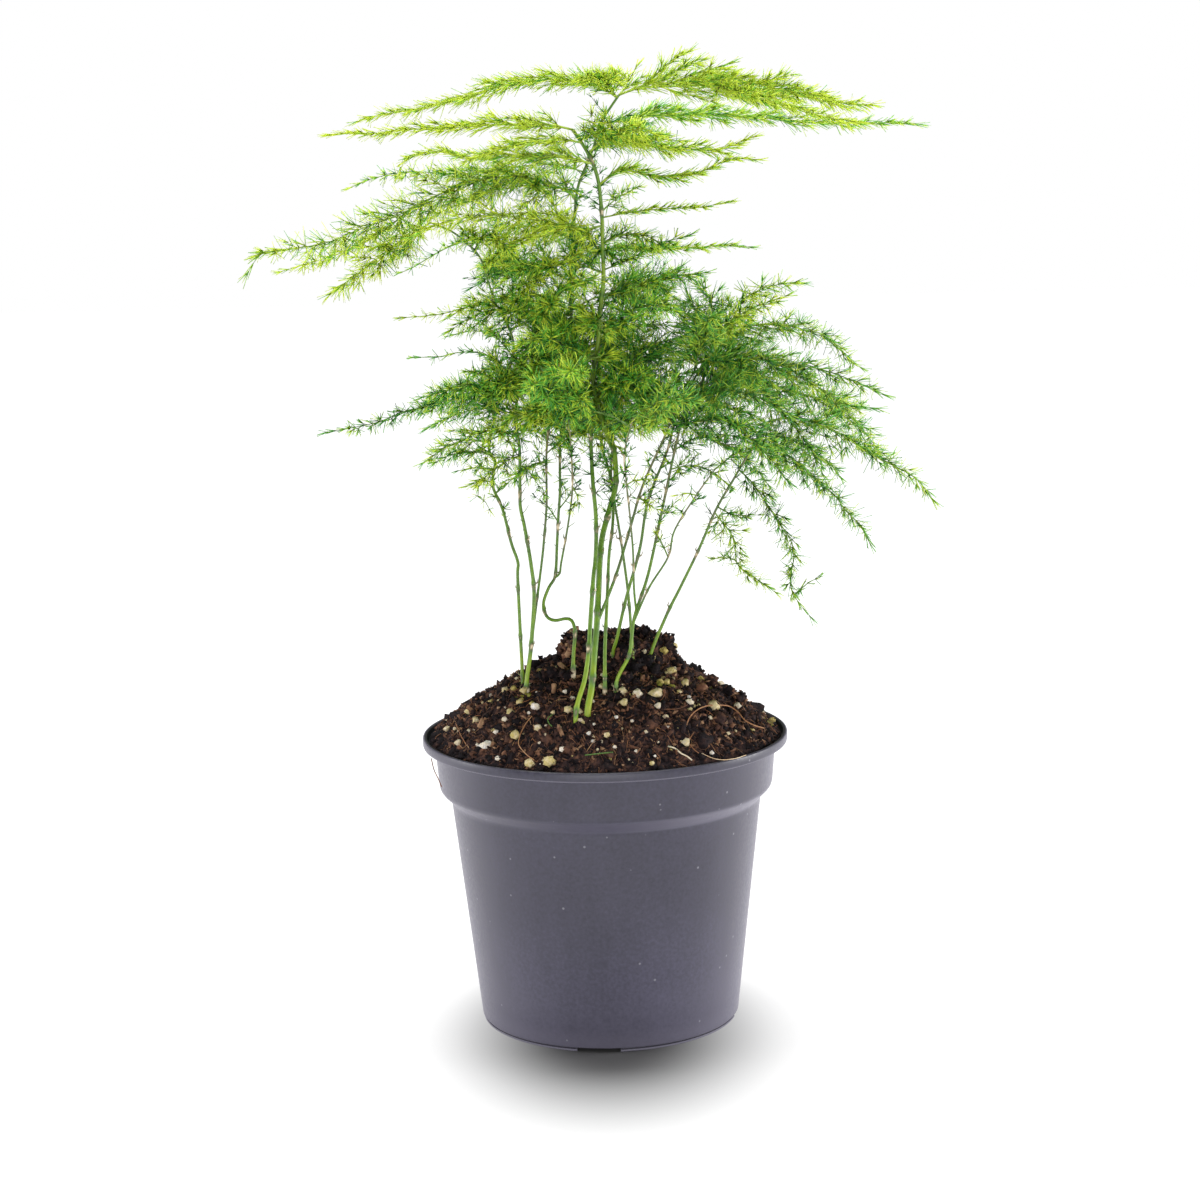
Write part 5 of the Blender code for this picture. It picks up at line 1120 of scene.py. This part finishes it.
    "right_loose_side": ("right_loose", 0.55, 4, 0.6, [(41, 151.8, -2), (37, 151.4, -4)]),
    "right_front": ("tall_stem_front_fork", 203, 12, 0.35, [(36, 206, -18), (46, 206, -26), (56, 202, -34),
        (64, 197, -40)]),
    "right_back": ("right_stem", 201, 15, 0.25, [(34, 206, 8), (42, 208, 18), (52, 207, 28),
        (62, 202, 38)]),
    "right_front_low": ("forked_stem", 195, 11, 0.3, [(36, 197, -18), (44, 196, -26), (52, 192, -33),
        (60, 187, -39)]),
    "right_back_low": ("forked_stem", 187, 6, 0.25, [(32, 191, -3), (40, 192, 4), (48, 190, 10),
        (57, 185, 15)]),
    "right_back_droop": ("leaning_stem", 192, 11, .38, [(60, 191, 4), (68, 187, 12), (75, 182, 18),
        (79, 177, 22)]),
    "right_back_up": ("right_stem", 222, 12, 0.35, [(38, 232, 14), (36, 238, 24), (34, 241, 32)]),
    "right_front_up": ("tall_stem_front_fork", 213, 12, 0.5, [(34, 222, -16), (36, 228, -24),
        (40, 231, -32)]),
    "near_right": ("forked_stem_left", 198, 13, 0.5, [(18, 202, -38), (25, 204, -46), (32, 203, -54)]),
    "near_right_low": ("forked_stem_right", 180.8, 5, 0.4, [(44, 185, -29), (50, 187, -33),
        (57, 185, -37)]),
    "low_yellow": ("forked_stem_left", 176, 5, 0.9, [(13, 178, -32), (18, 177.5, -35)]),
    "low_right": ("forked_stem_right", 172, 4, 0.9, [(29.5, 173, -28), (26, 172.5, -30)]),
    "low_left": ("left_stem", 183, 4, 0.4, [(-22, 181, -12), (-19, 176.5, -15), (-17.5, 173.5, -17)]),
    "right_gap": ("right_stem", 217, 12, .36, [(34, 225, -3), (33, 231, -9), (30, 238, -14)]),
    "right_gap_back": ("tall_stem_front_fork", 214, 11, 0.3, [(31, 222, 0), (29, 229, 8), (30, 236, 14)]),
    "third_right_near": ("tall_stem_front", 287, 12, 0.8, [(4, 289.5, -8), (12, 289.5, -16), (22, 288, -22)]),
    "third_right_far": ("tall_stem_back", 284, 11, 0.7, [(10, 286, 16), (20, 286.5, 20), (30, 285.5, 24)]),
    "fourth_right_up": ("tall_stem_front", 264, 8, 0.7, [(8, 268, 2), (15, 271.5, 6)]),
    "left_thin": ("arching_stem", 181.5, 4, 0.4, [(-38, 183, 6), (-45, 182, 10)]),
    "left_fringe": ("left_stem", 187, 9, 0.72, [(-30, 184.5, -14), (-36, 180, -18), (-42, 177, -20)]),
    "left_fringe_back": ("left_stem_fork", 184, 8, 0.5, [(-21, 183.5, 4), (-26, 180, 8), (-31, 176, 10)]),
    "fork_low": ("left_stem_fork", 187, 5, 0.35, [(-12, 190, 6), (-6, 188.5, 10)]),
    "low_tuft_a": ("forked_stem", 166, 4, 0.6, [(22, 166.5, -13), (25, 170, -11)]),
    "low_tuft_c": ("tall_stem_front_fork", 172, 4, 0.8, [(16, 170, -22), (19, 168, -25)]),
    "low_tuft_d": ("forked_stem_right", 152.5, 2.5, 0.6, [(20.5, 157, -20), (18.5, 161, -18),
        (21, 165, -16)]),
    "low_tuft_e": ("kinked_stem", 165, 2.5, 0.4, [(-15.5, 168.5, -1), (-17, 171, 1)]),
    "low_tuft_f": ("kinked_stem", 169, 3, 0.4, [(-10, 172, -4), (-8.5, 174.5, -6)]),
    "low_tuft_h": ("kinked_stem_fork", 176, 3, 0.8, [(-6, 171, -16), (-9, 168.5, -18)]),
    "right_fall": ("right_third", 0.30, 9, 0.4, [(57, 202, 0), (64, 194, -4), (70, 185, -8), (74, 176,
        -10)]),
    "right_fall_near": ("right_front_low", 0.45, 12, 0.45, [(50, 190, -34), (56, 184, -38), (62, 176,
        -42)]),
    "right_fall_far": ("right_back_low", 0.35, 8, 0.35, [(44, 187, 8), (51, 181, 14), (57, 173, 18)]),
    "right_fall_low": ("forked_stem", 181, 7, 0.45, [(30, 182, -8), (37, 180, -4), (43, 175, 0)]),
    "right_middle": ("right_second", 0.45, 8, 0.45, [(68, 209, -24), (77, 203, -30), (84, 195, -34)]),
    "right_end": ("right_third", 0.62, 12, 0.5, [(80, 197, 18), (88, 190, 24), (93, 182, 28)]),
    "left_fill": ("arching_stem", 207, 10, 0.4, [(-40, 210, -12), (-48, 208, -20), (-56, 206, -26)]),
    "left_fill_back": ("left_stem", 200, 9, 0.4, [(-36, 202, 12), (-46, 200, 20), (-55, 196, 26)]),
    "left_fill_low": ("arching_stem", 191, 10, .55, [(-42, 192, 4), (-50, 189, 8), (-56, 185, 10)]),
    "left_upper_fill": ("long_left", 0.30, 5, 0.75, [(-36, 270, 6), (-48, 265, 12), (-60, 259, 16), (-70,
        254, 18)]),
    "left_under": ("arching_stem", 247, 6, .9, [(-30, 252, -10), (-22, 256, -18), (-14, 258, -26)]),
    "left_inside": ("tall_stem_back", 262, 5, .92, [(-16, 264, 2), (-26, 264, 0), (-36, 262, -4)]),
}
print("stems:", len(STEMS), "marked fronds:", len(FRONDS))

# %% [markdown]
# A seen point lies somewhere on a line of sight, and how far back it is judged to be says where. A stem
# starts in the peat or on its parent, a frond on its stem, and a smooth curve through the points makes a
# line with even steps. Straight pieces between them would be simpler, but would show as kinks.

# %% Trace the lines
def in_space(across, up, back):
    """A route's point, given as seen in millimetres, in metres in the frame."""
    seen = np.array([across * MM, 0.0, up * MM]) + ROUTE_ZERO
    reach = (back * MM - SIGHT_FROM[1]) / -SIGHT_FROM[1]
    return SIGHT_FROM + (seen - SIGHT_FROM) * reach


def seen_heights(line):
    """How high each point of a line is seen, in millimetres."""
    reach = SIGHT_FROM[1] / (SIGHT_FROM[1] - line[:, 1])
    return (SIGHT_FROM[2] + (line[:, 2] - SIGHT_FROM[2]) * reach - ROUTE_ZERO[2]) / MM


def at_height(line, height):
    """The point of a line that is seen at a height."""
    return line[np.argmin(abs(seen_heights(line) - height))]


ROOTED_DEEP, STEM_STEP, FROND_STEP = 12 * MM, 1.0 * MM, 0.8 * MM
lines, node_of = {}, {}
for name, (parent, height, _, _, route) in STEMS.items():
    knots = [in_space(*point) for point in route]
    node_of[name] = node_of[parent] if parent else name
    start = at_height(lines[parent], height) if parent else knots[0] - UP * ROOTED_DEEP
    lines[name] = smooth_curve([start] + knots, STEM_STEP)
for name, (parent, place, _, _, route) in FRONDS.items():
    line = lines[parent]
    start = at_height(line, place) if place > 1 else line[round(place * (len(line) - 1))]
    lines[name] = smooth_curve([start] + [in_space(*point) for point in route], FROND_STEP)
    node_of[name] = node_of[parent]
stem_nodes = [name for name, (parent, *_) in STEMS.items() if parent is None]
print("lines:", len(lines), "of", len(stem_nodes), "leafy stems")

# %% [markdown]
# The thicket is made of short fronds round every stem where it passes through the dark middle. They could be
# placed one by one like the others, but none of them can be made out in the photograph, so each is turned on
# from the last by the golden angle, and its length, width and tone run through their ranges in the same way.

# %% Fill the thicket
THICKET_LOW, THICKET_HIGH, THICKET_PITCH = 192.0, 258.0, 8.8
GOLDEN_ANGLE = math.radians(137.508)
OUTER_STEM, BARE_FROM = "arching_stem", 222
KNOT_SHARES, LIFT, SAG = (0.0, 0.25, 0.5, 0.75, 1.0), 0.55, 0.60


def cycled(low, reach, pace):
    """A value between low and low + reach that runs on evenly from frond to frond."""
    return low + reach * (pace * count % 1.0)


count = 0
for order, stem in enumerate(STEMS):
    height = THICKET_LOW + 3.0 * (order % 3)
    while height < min(THICKET_HIGH, float(seen_heights(lines[stem]).max()) - 1.0):
        start = at_height(lines[stem], height)
        turn = GOLDEN_ANGLE * count
        length = cycled(24.0, 16.0, 0.618) * MM
        way = np.array([math.cos(turn), 0.85 * math.sin(turn), 0.0])
        name = f"thicket_{count}"
        if stem == OUTER_STEM and height > BARE_FROM:
            way[0] = abs(way[0])  # its outer side is bare up there
        tone = cycled(0.36 if lines[stem][-1, 0] < 8 * MM else 0.18, 0.44, 0.271)  # darker on the right
        FRONDS[name] = (stem, height, cycled(9.0, 5.0, 0.414), tone, None)
        knots = [start + way * share * length + UP * length * (LIFT * share - SAG * share * share)
                 for share in KNOT_SHARES]
        lines[name] = smooth_curve(knots, FROND_STEP)
        node_of[name] = node_of[stem]
        count += 1
        height += THICKET_PITCH
print("fronds in the thicket:", count)

# %% [markdown]
# ## The stems
# Asparagus stems are wiry and round, yellow-green near the peat, dark green above it, and grey or brown where
# they are thin and old. Every couple of centimetres a pale tan scar shows where a scale leaf sat, with a short
# hooked spur, and the stem swells a little there; a few wear a papery sheath at the peat. A curve object with
# a bevel would give the tubes quickly; here they are built as rings, so each can swell at a scar and carry
# its own colour values and streaks to the shader.

# %% Draw the stems
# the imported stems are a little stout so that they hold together; the real ones are this share as thick
STEM_SHARE = {"tall_stem_front": 0.98, "tall_stem_back": 0.86, "left_stem": 0.88, "kinked_stem": 0.88}
OTHER_SHARE = 0.74
STEM_SIDES = 8
SCAR_PITCH = (11.0 * MM, 23.0 * MM)
SPUR_LENGTH = (1.0 * MM, 2.6 * MM)
SPUR_RADII = np.array([0.34, 0.22, 0.05]) * MM
SHEATHED = ("left_stem", "kinked_stem", "tall_stem_front", "middle_stem")
# how much brighter than the others these stems are painted where they enter the leaves: painted light against
# the shade in the leaves
PAINTED_LIGHT_IN_LEAVES = {"tall_stem_front": 0.20, "tall_stem_back": 0.12, "left_stem": 0.12, "arching_stem": 0.12,
               "kinked_stem": 0.10, "middle_stem": 0.12}
# this one is clearly seen in front of them, between these heights above the peat, in millimetres, and is painted
# brighter still there by this much: painted light against the shade of the needles round it
SHOWN_STEM, SHOWN_FROM, SHOWN_TO, SHOWN_PAINTED_LIGHT = "tall_stem_front", 60, 160, 0.26
PEAT_LEVEL = 112
# from the yellow-green of the foot over dark green to the grey of age; the last two steps are scars and sheaths
STEM_STOPS = [(0.0, 160, 174, 42), (0.18, 140, 166, 36), (0.40, 104, 142, 36), (0.58, 76, 112, 38),
              (0.70, 92, 104, 64), (0.80, 142, 130, 94), (0.90, 224, 206, 172), (1.0, 244, 234, 212)]
AGED, SCARRED, PAPERY = 0.80, 0.95, 0.97
leaf_draws = np.random.default_rng(11)
stem_green = shaded_material("stem_green", STEM_STOPS, 0.42, 420.0, 2200.0, 0.25, 0.88)


def lengths_along(line):
    return np.concatenate([[0.0], np.cumsum(np.linalg.norm(np.diff(line, axis=0), axis=1))])


def at_lengths(line, along, places):
    return np.stack([np.interp(places, along, line[:, axis]) for axis in range(3)], axis=1)


def streaks(rings, amount):
    """Slow light and dark streaks down the sides of a tube: a value for each ring and side."""
    knots = leaf_draws.uniform(-1, 1, (rings // 5 + 2, STEM_SIDES))
    places = np.arange(rings) / 5
    return np.stack([np.interp(places, np.arange(len(knots)), side) for side in knots.T], axis=1) * amount


def spur(middle, way, thick):
    """The hooked spur at a scar: it leaves the stem sideways and bends up along it."""
    turn = leaf_draws.uniform(0, 2 * math.pi)
    out = np.array([math.cos(turn), math.sin(turn), 0.0])
    out -= way * (out @ way)
    length = leaf_draws.uniform(*SPUR_LENGTH)
    knots = [middle + out * thick * 0.3, middle + out * (thick + length * 0.35) + way * length * 0.25,
             middle + out * (thick + length * 0.45) + way * length]
    return tube(np.array(knots), SPUR_RADII, 4)


for node in stem_nodes:
    pile = Heap()
    for name in [name for name in STEMS if node_of[name] == node]:
        parent, height, foot, top, _ = STEMS[name]
        line = lines[name]
        along = lengths_along(line)
        radii = (foot + (top - foot) * along / along[-1]) * STEM_SHARE.get(name, OTHER_SHARE) * MM
        above_peat = line[:, 2] / MM - PEAT_LEVEL
        green = 0.08 + 0.36 * np.clip(above_peat / 22, 0, 1)
        # painted light: these stems are painted brighter where they enter the leaves
        green += (0.24 - PAINTED_LIGHT_IN_LEAVES.get(name, 0.0)) * np.clip((above_peat - 30) / 40, 0, 1)
        green += 0.08 if parent else 0.0
        # painted light: the stem seen in front of the thicket is painted brighter between those heights
        if name == SHOWN_STEM:
            inside = np.minimum(above_peat - SHOWN_FROM, SHOWN_TO - above_peat)
            green -= SHOWN_PAINTED_LIGHT * np.clip(inside / 15, 0, 1)
        green = np.clip(green[:, None] + streaks(len(line), 0.13), 0.0, AGED)
        if name in SHEATHED:
            sheath = np.clip(1.4 - abs(above_peat - (seen_heights(line)[12] - 111) - 2.0) / 2.2, 0, 1)
            green += (PAPERY - green) * sheath[:, None]
            radii = radii + 0.22 * MM * sheath
        scar = 9.0 * MM + leaf_draws.uniform(0, 8) * MM
        while scar < along[-1] - 6 * MM:
            radii = radii * (1 + 0.34 * np.exp(-((along - scar) / (0.9 * MM)) ** 2))
            below = np.exp(-((along - scar + 0.9 * MM) / (leaf_draws.uniform(0.6, 1.9) * MM)) ** 2)
            strength = leaf_draws.uniform(0.2, 1.2, STEM_SIDES)
            green = green + (SCARRED - green) * np.clip(below[:, None] * strength, 0, 1)
            way = tangents(line)[np.argmin(abs(along - scar))]
            hook = spur(at_lengths(line, along, [scar])[0], way, float(np.interp(scar, along, radii)))
            pile.add(*hook, shade=leaf_draws.uniform(0.74, 0.92))
            scar += leaf_draws.uniform(*SCAR_PITCH)
        points, faces = tube(line, radii, STEM_SIDES)
        pile.add(points, faces, shade=np.concatenate([green.ravel(), green[0, :1], green[-1, :1]]))
    piece = pile.piece(node + "_stem")
    finish(piece, stem_green)
    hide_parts(node)

# %% [markdown]
# ## The needle
# What looks like leaves are flattened twiglets, three to eight millimetres long and less than half a
# millimetre thick, in bunches. One is modelled as a slim spike with a flat foot and a flat tip
# crosswise to it: four faces are enough for something a pixel wide, and there are nearly seventy thousand.

# %% Model one needle
NEEDLE_CORNERS = ((-0.5, 0, 0), (0.5, 0, 0), (0, -0.22, 1), (0, 0.22, 1))
only()
bpy.ops.mesh.primitive_cone_add(vertices=3, radius1=0.5, radius2=0.0, depth=1.0, location=(0, 0, 0.5),
                                end_fill_type="NGON")
needle_piece = bpy.context.object
bpy.ops.object.transform_apply(location=True, rotation=True, scale=True)
# two corners at the foot and two, crosswise and closer, at the tip: about as thin all along from any side
for corner, place in zip(needle_piece.data.vertices, NEEDLE_CORNERS):
    corner.co = place
needle_points, needle_faces = mesh_arrays(needle_piece)
print("needle:", len(needle_points), "points,", len(needle_faces), "faces")

# %% [markdown]
# ## The fronds
# A frond is a flat, feathery triangle: branches leave its midrib to both sides, twigs leave the longer
# branches, and bunches of needles sit on all of them. The branches are longest a little way out and shorten
# to the tip. Growing them from these rules gives every frond its own pattern. Hair curves would draw it
# faster, but the library takes only meshes.

# %% Set out how a frond grows
BRANCH_PITCH, TWIG_PITCH = 3.6 * MM, 3.8 * MM
# how far apart the bunches are and how many needles each has: on the swept plumes, and on the starry rest
SWEPT_BUNCH, STARRY_BUNCH = (2.0 * MM, 4), (3.1 * MM, 7)
SWEPT_BELOW = 0.6  # needles that lean out less than this, in radians, lie along their twig
NEEDLE_WIDTH = (0.32 * MM, 0.51 * MM)
# in millimetres: the shortest, the longest on the plumes and at the right, and the longest elsewhere
SHORTEST, LONGEST_SWEPT, LONGEST = 3.2, 6.8, 8.0
FLATTENING = 0.95
# the plumes at the top spread flat; the share by which each is turned about its own midrib
TOP_PLUMES = {"plume_left": -0.16, "plume_right": 0.22, "plume_right_back": 0.1, "plume_right_low": 0.12,
              "plume_crown": 0.2, "plume_crown_left": -0.2, "plume_crown_front": 0.3, "dark_right": -0.08,
              "second_left": -0.10, "second_left_low": 0.05, "third_right": 0.14, "third_right_low": 0.05,
              "fourth_right": 0.0, "fifth_right": 0.0, "curl_left": 0.12}
# for those and for the bushy rest: how far branches rise out of the frond; their angle at its foot, how much of
# that goes towards its tip and how far they stray from it, in degrees; and how far the needles lean out
SPREAD_FLAT, BUSHY = ((-0.30, 0.45), 38, 16, 7, 0.46), ((-0.95, 0.75), 60, 22, 16, 0.98)
# short twigs grow straight on a stem from this height, and are fully grown this far above the second
TUFTS_FROM, TUFTS_ZERO, TUFTS_GROWN = 158 * MM, 148 * MM, 36 * MM
# the front stem shows through the thicket: between these heights, this near to it, this share of the needles
# that cross in front of it is left out
CLEARING = ("tall_stem_front", 188.0, 274.0, 1.3, 0.95)
# the columns of a bunch
PLACE, WAY, LENGTH, LEAN, TONE, COOL, NUMBER = slice(0, 3), slice(3, 6), 6, 7, 8, 9, 10


def unit(vector):
    return vector / max(float(np.linalg.norm(vector)), 1e-12)


def unit_rows(rows):
    return rows / np.maximum(np.linalg.norm(rows, axis=1), 1e-12)[:, None]


def bent_line(start, way, towards, length, step):
    """A short line that leaves along one way and bends towards another."""
    share = np.linspace(0, 1, max(2, round(length / step) + 1))[:, None]
    return start + (way * share + (towards - way) * share ** 2 * 0.5) * length


class Foliage:
    """The twigs and the bunches of needles of one leafy stem."""

    def __init__(self):
        self.twigs, self.bunches = Heap(), []

    def dress(self, line, first, length, tone, cool, lean):
        """Bunches of needles along a line, one row each."""
        pitch, number = SWEPT_BUNCH if lean < SWEPT_BELOW else STARRY_BUNCH
        along = lengths_along(line)
        places = np.arange(first, along[-1], pitch)
        places = np.clip(places + leaf_draws.normal(0, 0.12 * pitch, len(places)), 0, along[-1])
        places = np.append(places, along[-1])
        share = places / along[-1]
        ways = unit_rows(at_lengths(tangents(line), along, places))
        # at the tip fewer needles stand together, and they point forwards
        leans = np.where(share > 0.97, 0.4, lean * leaf_draws.uniform(0.6, 1.35, len(places)))
        leans = np.where((share > 0.86) & (along[-1] > 20 * MM), 0.25, leans)
        counts = np.where(share > 0.97, 4, number) + leaf_draws.integers(-1, 2, len(places))
        self.bunches.append(np.column_stack([
            at_lengths(line, along, places), ways, length * (1 - 0.4 * share), leans,
            tone + 0.10 * share + leaf_draws.normal(0, 0.08, len(places)), np.full(len(places), cool), counts]))

    def twig(self, line, thick, thin, tone):
        self.twigs.add(*tube(line, np.linspace(thick, thin, len(line)), 3), tone=tone, cool=0.0)

    def frond(self, name):
        _, _, half_width, tone, _ = FRONDS[name]
        tone = 0.20 + 0.80 * tone
        line, along = lines[name], lengths_along(lines[name])
        length = along[-1]
        ways = tangents(line)
        high = name in TOP_PLUMES
        roll = TOP_PLUMES[name] if high else leaf_draws.uniform(-0.9, 0.9)
        rise, wide, narrow, stray, lean = SPREAD_FLAT if high else BUSHY
        near_right = name.startswith(("right_", "near_right"))
        longest = LONGEST_SWEPT if near_right or high else LONGEST
        needle_length = min(longest, max(SHORTEST, 0.34 * half_width + 2.7)) * MM
        cool = 0.26 if near_right else (0.06 if tone < 0.5 and not high else 0.0)
        rings = at_lengths(line, along, np.linspace(0, length, max(3, round(length / (2.6 * MM)))))
        # painted light: the midribs of the top plumes are painted paler, so that their shaded sides don't show
        # dark
        self.twig(rings, 0.42 * MM if half_width > 9 else 0.30 * MM, 0.12 * MM,
                  tone + 0.15 if high else tone * 0.7 + 0.1)
        self.dress(line, 3.0 * MM, needle_length, tone + 0.05, cool, lean)
        place, side = 2.5 * MM + leaf_draws.uniform(0, 2) * MM, 1
        while place < length - 1.5 * MM:
            share = place / length
            grown = min(1.0, share / 0.12 + 0.35) * (1 - share) ** 0.8
            reach = max(0.0, half_width - 2.0) * MM * grown * leaf_draws.uniform(0.75, 1.2)
            if reach > 1.2 * MM:
                way = ways[np.argmin(abs(along - place))]
                across = unit(np.cross(way, UP))
                above = np.cross(across, way)
                out = across * math.cos(roll) + above * math.sin(roll)
                lift = leaf_draws.uniform(*rise) * above
                angle = math.radians(wide - narrow * share + leaf_draws.uniform(-1, 1) * stray)
                leave = unit(way * math.cos(angle) + out * side * math.sin(angle) + lift)
                swept = unit(leave + way * 0.5 - UP * 0.10)
                branch = bent_line(at_lengths(line, along, [place])[0], leave, swept, reach, 3.2 * MM)
                self.branch(branch, reach, needle_length * (1 - 0.35 * share ** 2), tone + 0.15 * share,
                            cool, above, lean)
            place += BRANCH_PITCH * leaf_draws.uniform(0.42, 0.62)
            side = -side

    def branch(self, line, reach, needle_length, tone, cool, above, lean):
        swept = lean < SWEPT_BELOW
        # painted light: the branches of the swept plumes are painted paler, so that their shaded sides don't
        # show dark
        self.twig(line, 0.17 * MM, 0.09 * MM, tone + 0.1 if swept else tone * 0.8 + 0.05)
        self.dress(line, 1.2 * MM, needle_length, tone, cool, lean)
        if reach < 7 * MM:
            return
        along = lengths_along(line)
        place, side = 2.6 * MM, 1 if leaf_draws.uniform() < 0.5 else -1
        while place < along[-1] - 2.5 * MM:
            way = tangents(line)[np.argmin(abs(along - place))]
            out = unit(np.cross(above, way)) * side
            leave = unit(way * 0.72 + out * (0.4 if swept else 0.75) + above * leaf_draws.uniform(-0.5, 0.5))
            length = leaf_draws.uniform(2.4, 5.2) * MM * (1 - 0.5 * place / along[-1])
            start = at_lengths(line, along, [place])[0]
            twig_line = bent_line(start, leave, unit(leave + way * 0.4), length, 5.0 * MM)
            self.twig(twig_line, 0.12 * MM, 0.07 * MM, tone * 0.8 + 0.08)
            self.dress(twig_line, 1.3 * MM, needle_length * 0.9, tone + 0.06, cool, lean)
            place += TWIG_PITCH * leaf_draws.uniform(0.8, 1.2)
            side = -side

    def tufts_on(self, name):
        """Short twigs straight on the upper stem, bare spurs at first and leafy higher up."""
        line = lines[name]
        along = lengths_along(line)
        place = float(np.interp(TUFTS_FROM, line[:, 2], along)) if line[-1, 2] > TUFTS_FROM else along[-1]
        while place < along[-1] - 4 * MM:
            middle = at_lengths(line, along, [place])[0]
            way = tangents(line)[np.argmin(abs(along - place))]
            turn = leaf_draws.uniform(0, 2 * math.pi)
            out = np.array([math.cos(turn), math.sin(turn), 0.15])
            grown = min(1.0, (middle[2] - TUFTS_ZERO) / TUFTS_GROWN)
            length = leaf_draws.uniform(2.4, 7.5) * MM * grown
            leave = unit(way * 0.55 + out)
            towards = unit(leave + UP * leaf_draws.uniform(-0.5, 0.9))
            twig_line = bent_line(middle, leave, towards, length, 2.4 * MM)
            self.twig(twig_line, 0.16 * MM, 0.08 * MM, leaf_draws.uniform(0.0, 0.4))
            if length > 2.2 * MM and leaf_draws.uniform() < 0.25 + 0.75 * grown ** 2:
                tone = 0.36 + leaf_draws.uniform(-0.2, 0.3)
                self.dress(twig_line, 1.0 * MM, 3.4 * MM * (0.5 + 0.5 * grown), tone, 0.0, 0.9)
            place += leaf_draws.uniform(1.4, 4.0) * MM

    def needles(self, name):
        """Every bunch's needles, as one piece."""
        rows = np.concatenate(self.bunches)
        rows = np.repeat(rows, rows[:, NUMBER].astype(int), axis=0)
        count = len(rows)
        way = rows[:, WAY]
        out = unit_rows(np.cross(way, unit_rows(leaf_draws.normal(size=(count, 3)))))
        starry = rows[:, LEAN] > SWEPT_BELOW
        lean = rows[:, LEAN] * leaf_draws.uniform(np.where(starry, 0.3, 0.45), np.where(starry, 1.75, 1.5))
        along = way * np.cos(lean)[:, None] + out * np.sin(lean)[:, None]
        along[:, 2] *= FLATTENING
        along = unit_rows(along)
        length = rows[:, LENGTH] * leaf_draws.uniform(0.72, 1.25, count)
        crossing = self.crossing(rows, along, length) & (leaf_draws.uniform(size=count) < CLEARING[-1])
        rows, out, along, length, starry = (part[~crossing] for part in (rows, out, along, length, starry))
        count = len(rows)
        width = leaf_draws.uniform(*NEEDLE_WIDTH, count)
        side = unit_rows(np.cross(along, out + 0.01))
        third = np.cross(along, side)
        corner = needle_points[None]
        copies = (rows[:, None, PLACE] + side[:, None] * corner[..., 0:1] * width[:, None, None]
                  + third[:, None] * corner[..., 1:2] * width[:, None, None]
                  + along[:, None] * corner[..., 2:3] * length[:, None, None])
        faces = needle_faces[None] + (np.arange(count) * len(needle_points))[:, None, None]
        pile = Heap()
        tone = rows[:, TONE] - 0.02 + leaf_draws.normal(0, np.where(starry, 0.33, 0.20))
        pile.add(copies.reshape(-1, 3), faces.reshape(-1, 3), tone=np.repeat(tone, len(needle_points)),
                 cool=np.repeat(rows[:, COOL], len(needle_points)))
        return pile.piece(name)

    def crossing(self, rows, along, length):
        """The needles that cross in front of the stem in the clearing."""
        stem, low, high, near, _ = CLEARING
        heights, order = seen_heights(rows[:, PLACE]), np.argsort(seen_heights(lines[stem]))
        line, line_heights = lines[stem][order], seen_heights(lines[stem])[order]
        stem_x, stem_back = (np.interp(heights, line_heights, line[:, axis]) for axis in (0, 1))
        foot = rows[:, 0] - stem_x
        across = (foot * (foot + along[:, 0] * length) < (near * MM) ** 2) & (rows[:, 1] < stem_back)
        return across & (heights > low) & (heights < high)


print("plumes that spread flat:", len(TOP_PLUMES))

# %% [markdown]
# Needles and twigs are even in colour, paler towards the tips, and bluer in the fronds at the right. Every
# one carries its own tone and coolness from where it grew, so one finish can serve them all: a ramp of
# greens read by the tone, with a blue-green laid over it by the coolness. A finish for each frond would be
# more work and would still leave its needles all alike.

# %% Grow the fronds
# from the shade inside the thicket to the sunlit tips, and the blue-green of the fronds at the right
NEEDLE_STOPS = [(0.0, 14, 70, 20), (0.3, 45, 140, 36), (0.6, 98, 181, 42), (0.8, 158, 204, 44),
                (1.0, 205, 226, 54)]
TWIG_STOPS = [(0.0, 60, 92, 40), (0.5, 104, 140, 54), (1.0, 168, 192, 72)]
NEEDLE_COOL, TWIG_COOL = (72, 136, 72), (96, 132, 84)


def leaf_material(name, stops, cool_colour):
    paint = Paint(name, 0.5)
    patches, grain = paint.mottle(160.0, 2600.0)
    drift = paint.span(patches, 0.25, 0.75, -0.10, 0.10)
    colour = paint.ramp(paint.plus(paint.own("tone"), drift), stops)
    paint.into("Base Color", paint.blend(paint.times(paint.own("cool"), 0.7), colour, cool_colour))
    paint.bump(grain, 0.2, 0.0002)
    return paint.material


needle_green = leaf_material("needle_green", NEEDLE_STOPS, NEEDLE_COOL)
twig_green = leaf_material("twig_green", TWIG_STOPS, TWIG_COOL)
for node in stem_nodes:
    foliage = Foliage()
    for name in [name for name in FRONDS if node_of[name] == node]:
        foliage.frond(name)
    for name in [name for name in STEMS if node_of[name] == node]:
        foliage.tufts_on(name)
    for piece, material in ((foliage.twigs.piece(node + "_twigs"), twig_green),
                            (foliage.needles(node + "_needles"), needle_green)):
        finish(piece, material, smooth=False)
        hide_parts(node)
